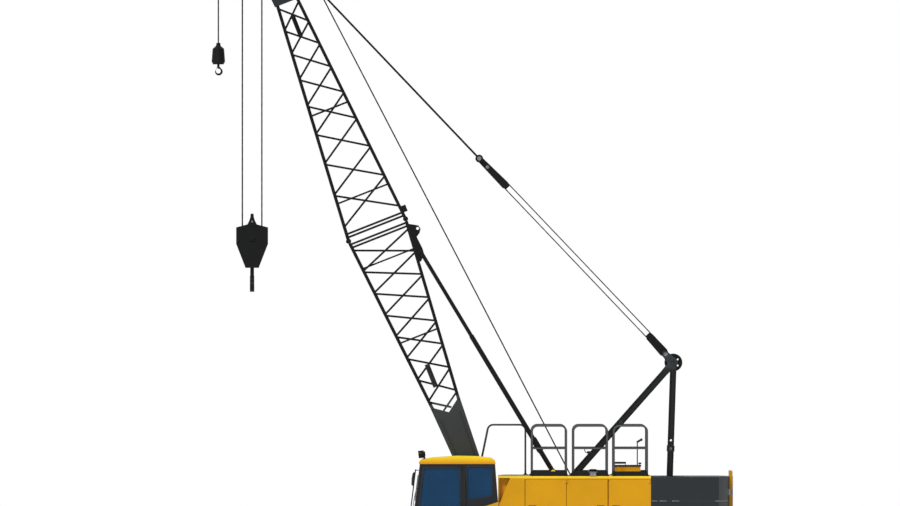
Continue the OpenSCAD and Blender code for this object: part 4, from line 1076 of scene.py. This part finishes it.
# %% [markdown]
# ## Things on the deck
# The filler cap, a hooded vent, the signal lamp on its pole and the exhaust elbow stand on the deck. The
# exhaust is one bent pipe with a clamp, cut off at a slant so that rain runs past it. A small bracket hangs
# under a rail, and small black blocks stand on the box beside the pole.

# %% Deck pieces
cap = bar((-1.120, 0.800, 3.010), (-1.120, 0.800, 3.035), 0.095, 24)
panelled(cap, UP, 0.03, 0.012)
completed("deck_caps", [softened(cap, 0.004)], "upper", black_paint)
vent = block((-1.185, 1.482, 2.9065), (-1.045, 1.540, 2.984))
panelled(vent, LEFT, 0.012, -0.006)
with facing(vent, UP):
    sized(0.9, 1, 1, (-1.115, 1.51, 2.984))
hood = block((-1.212, 1.478, 2.982), (-1.026, 1.546, 2.998))
completed("deck_vent", [softened(vent, 0.004)], "upper", bare_steel)
completed("vent_hood", [softened(hood, 0.005)], "upper", aged_steel)
pipe_x, pipe_y = -1.20, -1.02
exhaust = tube([(x, pipe_y, z) for x, z in ((pipe_x, 2.86), (pipe_x, 2.91), (-1.16, 2.950), (-1.00, 2.955))],
               0.048, sides=4)
with edit_mode(exhaust):
    pick_all()
    bpy.ops.mesh.bisect(plane_co=(-1.03, pipe_y, 2.97), plane_no=(1, 0, -0.4), clear_outer=True, use_fill=True)
    pick(exhaust, lambda middle, normal: normal.x > 0.6 and middle.x > -1.06)
    inset(0.005)
    pull(x=-0.03)
clamp = ring((pipe_x, pipe_y, 2.911), UP, 0.054, 0.010, 24)
completed("exhaust_elbow", [exhaust, clamp], "upper", aged_steel)
bent = [(x, rail_y, z) for x, z in ((-0.935, 3.462), (-0.96, 3.40), (-1.09, 3.40), (-1.115, 3.462))]
bracket = [tube(bent, 0.010, False), softened(block((-1.06, 1.452, 3.375), (-0.99, 1.488, 3.425)), 0.006)]
pole_y = 0.97
on_box = [softened(block((-1.805, 0.945, 3.158), (-1.550, 0.995, 3.200)), 0.008),
          softened(block((-2.125, 0.945, 3.150), (-2.060, 0.995, 3.185)), 0.008),
          bar((-2.09, pole_y, 3.130), (-2.09, pole_y, 3.155), 0.006, 8),
          tube([(-1.79, pole_y, 3.130), (-1.79, pole_y, 3.180)], 0.007, False),
          bar((-1.57, pole_y, 3.130), (-1.57, pole_y, 3.165), 0.007, 8)]
completed("rail_bracket", bracket + on_box, "upper", black_paint)
mast_lamp = lamp((-2.145, pole_y, 3.671), (-0.87, 0, 0.49), 0.026, 1.6)
completed("mast_lamp", mast_lamp, "upper", black_paint)

# %% [markdown]
# ## Boom fittings
# The two sections are pinned together at four bosses. Each pin has a head on one end and a spring clip
# through the other. The head plates carry bolted axle keepers, and a small box on each section holds
# the cable of the load gauge. The last lacing bars run down beside the foot plates. All of it is modelled
# along the boom and then turned into place.

# %% Pins, keepers and boxes on the boom
def to_boom(parts):
    return placed(parts, on_boom_matrix)


def joint_pin(behind, joint=6.5):
    pin = panelled(bar((joint, 0.478, behind), (joint, 0.600, behind), 0.030, 20), LEFT, 0.006, 0.006)
    head = softened(bar((joint, 0.466, behind), (joint, 0.480, behind), 0.042, 20), 0.003)
    return [pin, head, ring((joint, 0.590, behind - 0.012), LEFT, 0.040, 0.0035, 20, 6)]


completed("boom_joint_pins", to_boom(both(joint_pin(-0.6375) + joint_pin(0.6375))), "boom", black_paint)


def cable_box(low, high, behind, deep):
    """A box between the chords, with its lid and two clamps on the tubes."""
    box = block((low, -0.075, behind - deep), (high, 0.075, behind + deep))
    panelled(box, LEFT, 0.012, 0.012)
    straps = [softened(block((x - 0.02, -0.46, behind - 0.012), (x + 0.02, 0.46, behind + 0.012)), 0.004)
              for x in (low + 0.05, high - 0.05)]
    return [softened(box, 0.008)] + straps


completed("cable_box_lower", to_boom(cable_box(3.01, 3.52, -0.060, 0.052)), "boom", slate_paint)
completed("cable_box_upper", to_boom(cable_box(10.83, 11.31, 0.0, 0.045)), "boom", black_paint)
lacing = [bar((low, 0.502, start), (high, 0.502, end), 0.019, 12)
          for low, start, high, end in ((2.76, -0.30, 2.50, 0.09), (2.74, 0.28, 2.49, -0.09))]
completed("boom_foot_lacing", to_boom(both(lacing)), "boom", boom_paint)
four_bolts = (0.8, 2.4, 3.9, 5.5)


def round_places(x, y, z, radius, angles):
    """Places on a circle that faces sideways."""
    return [(x + radius * math.cos(angle), y, z + radius * math.sin(angle)) for angle in angles]


keepers, plate_side, keeper_side = [], 0.3195, 0.334
for along, behind, radius in ((13.0, -0.239, 0.062), (13.016, 0.355, 0.062), (13.0, 0.132, 0.05)):
    keeper = bar((along, plate_side, behind), (along, keeper_side, behind), radius, 24)
    keepers.append(panelled(keeper, LEFT, 0.022, 0.008))
    if radius > 0.06:
        keepers += bolts(round_places(along, keeper_side, behind, 0.05, four_bolts), LEFT, 0.008, 0.008)
completed("head_axle_keepers", to_boom(both(keepers)), "boom", bare_steel)
ribs = [softened(sheet_metal([(1.15, start - 0.008), (2.35, end - 0.008), (2.35, end + 0.008), (1.15, start + 0.008)],
                             0.530, 0.022), 0.003) for start, end in ((-0.16, -0.22), (0.16, 0.22))]
ribs.append(panelled(bar((0, 0.530, 0), (0, 0.5385, 0), 0.135, 36), LEFT, 0.05, -0.004))
completed("foot_plate_ribs", to_boom(both(ribs)), "boom", slate_paint)

# %% [markdown]
# ## Gantry fittings
# Each gantry leg is a box of plates whose side plate stands proud at both edges, so a pair of narrow strips runs along
# it. The strips are black, a painted shade where the leg's edges turn away from the light. The shafts are held by
# bolted keepers, and a pin with a ring clip locks the rear leg.

# %% Edge strips, keepers and locking pins on the gantry
gantry_head, front_foot, rear_foot = Vector((-2.800, 0, 5.260)), Vector((0.085, 0, 2.000)), Vector((-2.690, 0, 1.850))


def along_leg(foot, along, beside, side):
    """A place beside the middle line of a gantry leg."""
    way = (gantry_head - foot).normalized()
    place = foot + way * along + Vector((way.z, 0, -way.x)) * beside
    return Vector((place.x, side, place.z))


strips, keepers, strip_wide, leg_side = [], [], 0.032, 0.5392
for foot, low, high, edge in ((front_foot, 0.32, 4.05, 0.0635), (rear_foot, 0.24, 1.53, 0.0605),
                              (rear_foot, 1.70, 3.22, 0.0605)):
    for sign in (-1, 1):
        corners = [along_leg(foot, along, sign * beside, 0) for along, beside in (
            (low, edge), (high, edge), (high, edge - strip_wide), (low, edge - strip_wide))]
        strips.append(softened(sheet_metal([(c.x, c.z) for c in corners], leg_side, 0.007), 0.002, 1))
# The strips are painted black: painted shade along the edges of each leg.
completed("gantry_edge_strips", both(strips), "upper", black_paint)
tie = along_leg(front_foot, 2.699, 0, 0)
for x, z, radius in ((gantry_head.x, gantry_head.z, 0.072), (tie.x, tie.z, 0.040)):
    keeper = panelled(bar((x, leg_side, z), (x, leg_side + 0.011, z), radius, 28), LEFT, 0.5 * radius, -0.005)
    heads = bolts(round_places(x, leg_side + 0.011, z, 0.75 * radius, four_bolts), LEFT, 0.007, 0.006)
    keepers += [softened(keeper, 0.002, 1)] + heads
completed("gantry_keepers", both(keepers), "upper", slate_paint)
lock = along_leg(rear_foot, 1.620, 0, 0)
locks = [bar((lock.x, 0.470, lock.z), (lock.x, 0.572, lock.z), 0.016, 16),
         softened(bar((lock.x, 0.558, lock.z), (lock.x, 0.572, lock.z), 0.026, 16), 0.003),
         ring((lock.x, 0.580, lock.z - 0.022), LEFT, 0.024, 0.003, 20, 6)]
completed("gantry_lock_pins", both(locks), "upper", bare_steel)

# %% [markdown]
# ## Pins of the spreaders
# The pins that join spreaders, pendants and gantry are turned bright, and each end shows as a light disc with
# a raised rim and a drilled centre.

# %% Bright pin ends
def pin_end(place, side, radius):
    disc = bar((place.x, side, place.z), (place.x, side + 0.010, place.z), radius, 28)
    with facing(disc, LEFT):
        inset(0.2 * radius)
        pull(y=-0.004)
        inset(0.5 * radius)
        pull(y=-0.003)
    return across(softened(disc, 0.0015, 1))


completed("gantry_pin_ends", pin_end(stay_pin, 0.4836, 0.042), "upper", bare_steel)
pendant_ends = pin_end(on_stay(5.631, 0, 0), 0.3998, 0.044) + pin_end(on_stay(5.384, 0, 0), 0.2879, 0.036)
completed("pendant_pin_ends", pendant_ends, "pendant_stay", bare_steel)

# %% [markdown]
# ## Highlights on the counterweight's seam
# The two weights are cast apart and stacked. Short light strips along the seam between them are painted highlights,
# where light catches the seam. Each strip is a thin tube laid along the side, and the last one follows the round tail.

# %% Seam highlights
tail_r, weight_side, seam_z = 4.040, 1.5505, 2.389


# Each strip is a painted highlight: a pale tube laid on the seam.
def seam_glint(start, end):
    places = [start + (end - start) * i / 4 for i in range(5)]
    return tube([(x, min(weight_side, math.sqrt(max(0.0, tail_r ** 2 - x * x))), seam_z) for x in places], 0.011)


seam_glints = both([seam_glint(*ends) for ends in ((-2.340, -2.455), (-2.500, -2.640), (-2.755, -2.910), (-3.660, -3.915))])
completed("seam_highlights", seam_glints, "upper", aged_steel)

# %% [markdown]
# ## Hook block and hooks
# Bolts clamp the cheeks of the block together, and a guard bar on each side keeps the ropes in their grooves.
# A sprung steel latch closes the mouth of each hook. It is a narrow strip with a spring at its root.

# %% Block bolts, rope guards and hook latches
block_x, cheek_side = head_sheave.x, 0.1352
guards = []
for x, z in ((-0.285, 0.150), (0.285, 0.150), (-0.285, -0.060), (0.285, -0.060), (-0.115, -0.560), (0.115, -0.560)):
    x, z = block_x + x, block_z + z
    guards += [bar((x, -0.136, z), (x, 0.136, z), 0.014, 12)] + both(bolts([(x, cheek_side, z)], LEFT, 0.024, 0.016))
peak = [(-0.012, 0.500), (0.012, 0.500), (0.062, 0.345), (0.122, 0.236), (-0.122, 0.236), (-0.062, 0.345)]
peak = [(block_x + x, block_z + z) for x, z in peak]
rope_guard = block((block_x - 0.075, 0.135, block_z - 0.062), (block_x + 0.075, 0.165, block_z - 0.044))
guards += both([softened(rope_guard, 0.003), softened(sheet_metal(peak, cheek_side, 0.014), 0.003, 1)])
completed("block_guards", guards, "main_block", black_paint)
becket_pins = both(bolts([(block_x, 0.149, block_z + 0.335)], LEFT, 0.020, 0.012, 20))
completed("block_becket_pins", becket_pins, "main_block", bare_steel)


def latch(bowl, neck, wide):
    """The strip across the mouth of a hook, and the spring at its root."""
    strip = sheet_metal([(neck, 1.70 * bowl), (neck + 0.10 * bowl, 1.70 * bowl), (1.14 * bowl, 0.50 * bowl),
                         (1.02 * bowl, 0.44 * bowl)], -wide, 2 * wide)
    with edit_mode(strip):
        pick(strip, lambda middle, normal: abs(normal.y) > 0.9)
        inset(0.02 * bowl)
        pull()  # moves nothing, but the bevel's corners depend on it
    spring = ring((neck + 0.04 * bowl, 0, 1.62 * bowl), LEFT, 0.09 * bowl, 0.04 * bowl, 16, 6)
    return [softened(strip, 0.02 * bowl, 1), spring]


for body, place, turn, parts in (("main_hook", (head_sheave.x, 0, 6.8732), -math.pi / 2, latch(0.078, 0.045, 0.022)),
                                 ("ball_hook", (aux_x, 0, 11.330), 0.0, latch(0.050, 0.025, 0.014))):
    placed(parts, turned(place, turn, "Z"))
    completed(f"{body}_latch", parts, body, bare_steel)

# %% [markdown]
# ## Teeth of the slewing ring
# The outer race of the slewing ring carries gear teeth that a pinion walks round. A cylinder with two faces to
# a tooth is drawn, and every second face is extruded on its own and then narrowed.

# %% Slewing gear
gear_faces = 192
gear = bar((0, 0, 1.078), (0, 0, 1.140), 0.8215, gear_faces)


def on_tooth(middle, normal):
    """True on every second face round the ring."""
    number = round(math.atan2(middle.y, middle.x) / math.pi * gear_faces / 2 - 0.5)
    return abs(normal.z) < 0.1 and number % 2 == 0


with edit_mode(gear):
    pick(gear, on_tooth)
    bpy.ops.mesh.extrude_faces_move(TRANSFORM_OT_shrink_fatten={"value": -0.026})
    pick(gear, lambda middle, normal: abs(normal.z) < 0.1 and Vector((middle.x, middle.y)).length > 0.840)
    inset(0.004, each=True)
completed("slew_gear", [gear], "upper", track_iron, (), 20)

# %% [markdown]
# ## Dress of the crawlers
# Each crawler has a bolted cover on its sprocket and its idler, two steps on the frame, a guard over each
# carrier roller, and two hoses from the centre body to the motor. They are modelled on the left and mirrored.

# %% Covers, steps and hoses of the crawlers
def cover(x, radius, count):
    frame_side, side = 1.9495, 1.972
    plate = bar((x, frame_side, track_z), (x, side, track_z), radius, 32)
    panelled(plate, LEFT, 0.35 * radius, 0.014)
    places = round_places(x, side, track_z, 0.82 * radius, [2 * math.pi * i / count for i in range(count)])
    return [softened(plate, 0.004)] + bolts(places, LEFT, 0.013, 0.010)


def frame_step(x):
    tread = block((x - 0.18, 1.948, 0.440), (x + 0.18, 2.085, 0.462))
    panelled(tread, UP, 0.012, -0.006)
    brackets = [sheet_metal([(low, 0.44), (low + 0.012, 0.44), (low + 0.012, 0.36), (low, 0.36)], 1.949, 0.12)
                for low in (x - 0.16, x + 0.148)]
    return [softened(tread, 0.003)] + [softened(bracket, 0.002) for bracket in brackets]


crawler = cover(-2.215, 0.150, 12) + cover(2.215, 0.105, 8) + frame_step(-0.60) + frame_step(0.60)
for x in (-0.9, 0.9):
    roof = block((x - 0.13, 1.70, 0.862), (x + 0.13, 1.84, 0.868))
    crawler.append(softened(roof, 0.002))
gaps = (0.0, 0.06)
hoses = [tube([(-0.835, 0.42 + gap, 0.66), (-1.10, 0.46 + gap, 0.68), (-1.60, 0.80 + gap, 0.62),
               (-2.00, 1.15, 0.55 + gap), (-2.215, 1.325, 0.52 + gap)], 0.018) for gap in gaps]
fittings = [bar((-0.842, 0.42 + gap, 0.66), (-0.880, 0.423 + gap, 0.662), 0.026, 6) for gap in gaps]
for side, name in ((1, "left"), (-1, "right")):
    for kind, parts, finish, slot in (("crawler_covers", crawler, slate_paint, "grey"),
                                      ("drive_hoses", hoses, black_rubber, "black"),
                                      ("hose_fittings", fittings, bare_steel, "steel")):
        same = [copies(part, moves((0, 0, 0)))[1] for part in parts]
        completed(f"{kind}_{name}", on_side(same, side), "undercarriage", finish)
for part in crawler + hoses + fittings:
    bpy.data.objects.remove(part)

# %% [markdown]
# ## Steps of the upper structure
# The driver climbs a hung step below the cab, and the tank on the other side has a tread in its recess. The
# step is a plate with raised strips between two straps. The tank's filler has a lid with a hasp.

# %% Cab step, tank tread and filler
tread = block((1.78, 1.575, 1.088), (2.22, 1.760, 1.104))
with edit_mode(tread):
    for x in (1.86, 1.94, 2.02, 2.10, 2.18):
        cut_across(tread, (x - 0.03, 0, 0), AHEAD)
        cut_across(tread, (x, 0, 0), AHEAD)
    pick(tread, lambda middle, normal: normal.z > 0.9 and int(round((middle.x - 1.845) / 0.04 * 10)) % 20 == 0)
    inset(0.006, each=True)
    shifted(0, 0, 0.006)
straps = [softened(block((x, 1.570, 1.088), (x + 0.012, 1.625, 1.175)), 0.002) for x in (1.775, 2.213)]
completed("cab_step", [softened(tread, 0.002, 1)] + straps, "upper", slate_paint)
completed("tank_tread", chequered((1.245, -1.535), (1.480, -0.640), 1.8709), "upper", slate_paint, (), 20)
filler_y = -1.30
filler = bar((1.05, filler_y, 2.2305), (1.05, filler_y, 2.262), 0.062, 24)
panelled(filler, UP, 0.018, 0.010)
hasp = handle((1.01, filler_y, 2.268), (1.09, filler_y, 2.268), (0, 0, 0.022), 0.005)
completed("tank_filler", [softened(filler, 0.003), hasp], "upper", black_paint)

# %% [markdown]
# ## Engine dress
# Behind the right-hand doors the engine shows its rocker covers, filter cans, air cleaner, belt and pulleys.
# Each is turned or cast round on the real engine, so cylinders and inset blocks do.

# %% Engine dress
dress = []
for x in (-1.66, -1.22, -0.78):
    rocker = block((x - 0.19, -1.16, 2.168), (x + 0.19, -0.93, 2.235))
    panelled(rocker, UP, 0.03, 0.022)
    dress += [softened(rocker, 0.008)] + bolts([(x + o, -1.045, 2.257) for o in (-0.11, 0.11)], UP, 0.012, 0.010)
filter_y, filter_low, filter_high = -1.415, 1.62, 1.84
for x in (-0.96, -0.80):
    can = bar((x, filter_y, filter_low), (x, filter_y, filter_high), 0.052, 24)
    with edit_mode(can):
        pick(can, lambda middle, normal: abs(normal.z) > 0.9)
        inset(0.014)
        sized(1, 1, 1.08, (x, filter_y, 1.73))
    dress += [softened(can, 0.003), block((x - 0.03, -1.42, filter_high), (x + 0.03, -1.359, 1.90))]
cleaner_y, cleaner_z, cleaner_clamps = -1.18, 2.42, (-1.50, -1.17)
cleaner = bar((-1.62, cleaner_y, cleaner_z), (-1.05, cleaner_y, cleaner_z), 0.120, 32)
with edit_mode(cleaner):
    pick(cleaner, lambda middle, normal: abs(normal.x) > 0.9)
    inset(0.02)
    sized(1.06, 1, 1, (-1.335, cleaner_y, cleaner_z))
dress += [softened(cleaner, 0.005)]
dress += [ring((x, cleaner_y, cleaner_z), AHEAD, 0.121, 0.006, 32, 6) for x in cleaner_clamps]
dress += [softened(block((x - 0.02, -1.26, 2.235), (x + 0.02, -1.10, 2.315)), 0.003) for x in cleaner_clamps]
intake = [(-1.045, cleaner_y, cleaner_z), (-0.93, cleaner_y, 2.40), (-0.86, -1.13, 2.31), (-0.86, -1.08, 2.24)]
dress.append(tube(intake, 0.045, sides=4))
completed("engine_dress", dress, "upper", engine_paint)
pulleys = [softened(panelled(bar((-0.5505, y, z), (-0.500, y, z), radius, 28), AHEAD, 0.018, -0.012), 0.002, 1)
           for y, z, radius in ((-1.04, 1.62, 0.115), (-1.04, 1.98, 0.090), (-0.84, 1.84, 0.055))]
completed("engine_pulleys", pulleys, "upper", bare_steel)
belt = [(-1.155, 1.62), (-1.04, 1.505), (-0.925, 1.62), (-0.786, 1.84), (-0.84, 1.894), (-0.96, 2.03),
        (-1.04, 2.07), (-1.13, 1.98), (-1.155, 1.62)]
completed("engine_belt", [tube([(-0.525, y, z) for y, z in belt], 0.012, False)], "upper", black_rubber)

# %% [markdown]
# ## Mirror shell
# The mirror on the cab's front post sits in a thick moulded shell that bulges forwards.

# %% Mirror shell
shell = sheet_metal([(2.628, 2.700), (2.657, 2.730), (2.652, 2.860), (2.632, 2.965), (2.600, 2.996), (2.594, 2.985)],
                    1.482, 0.156)
completed("mirror_shell", [softened(shell, 0.010)], "upper", black_rubber)
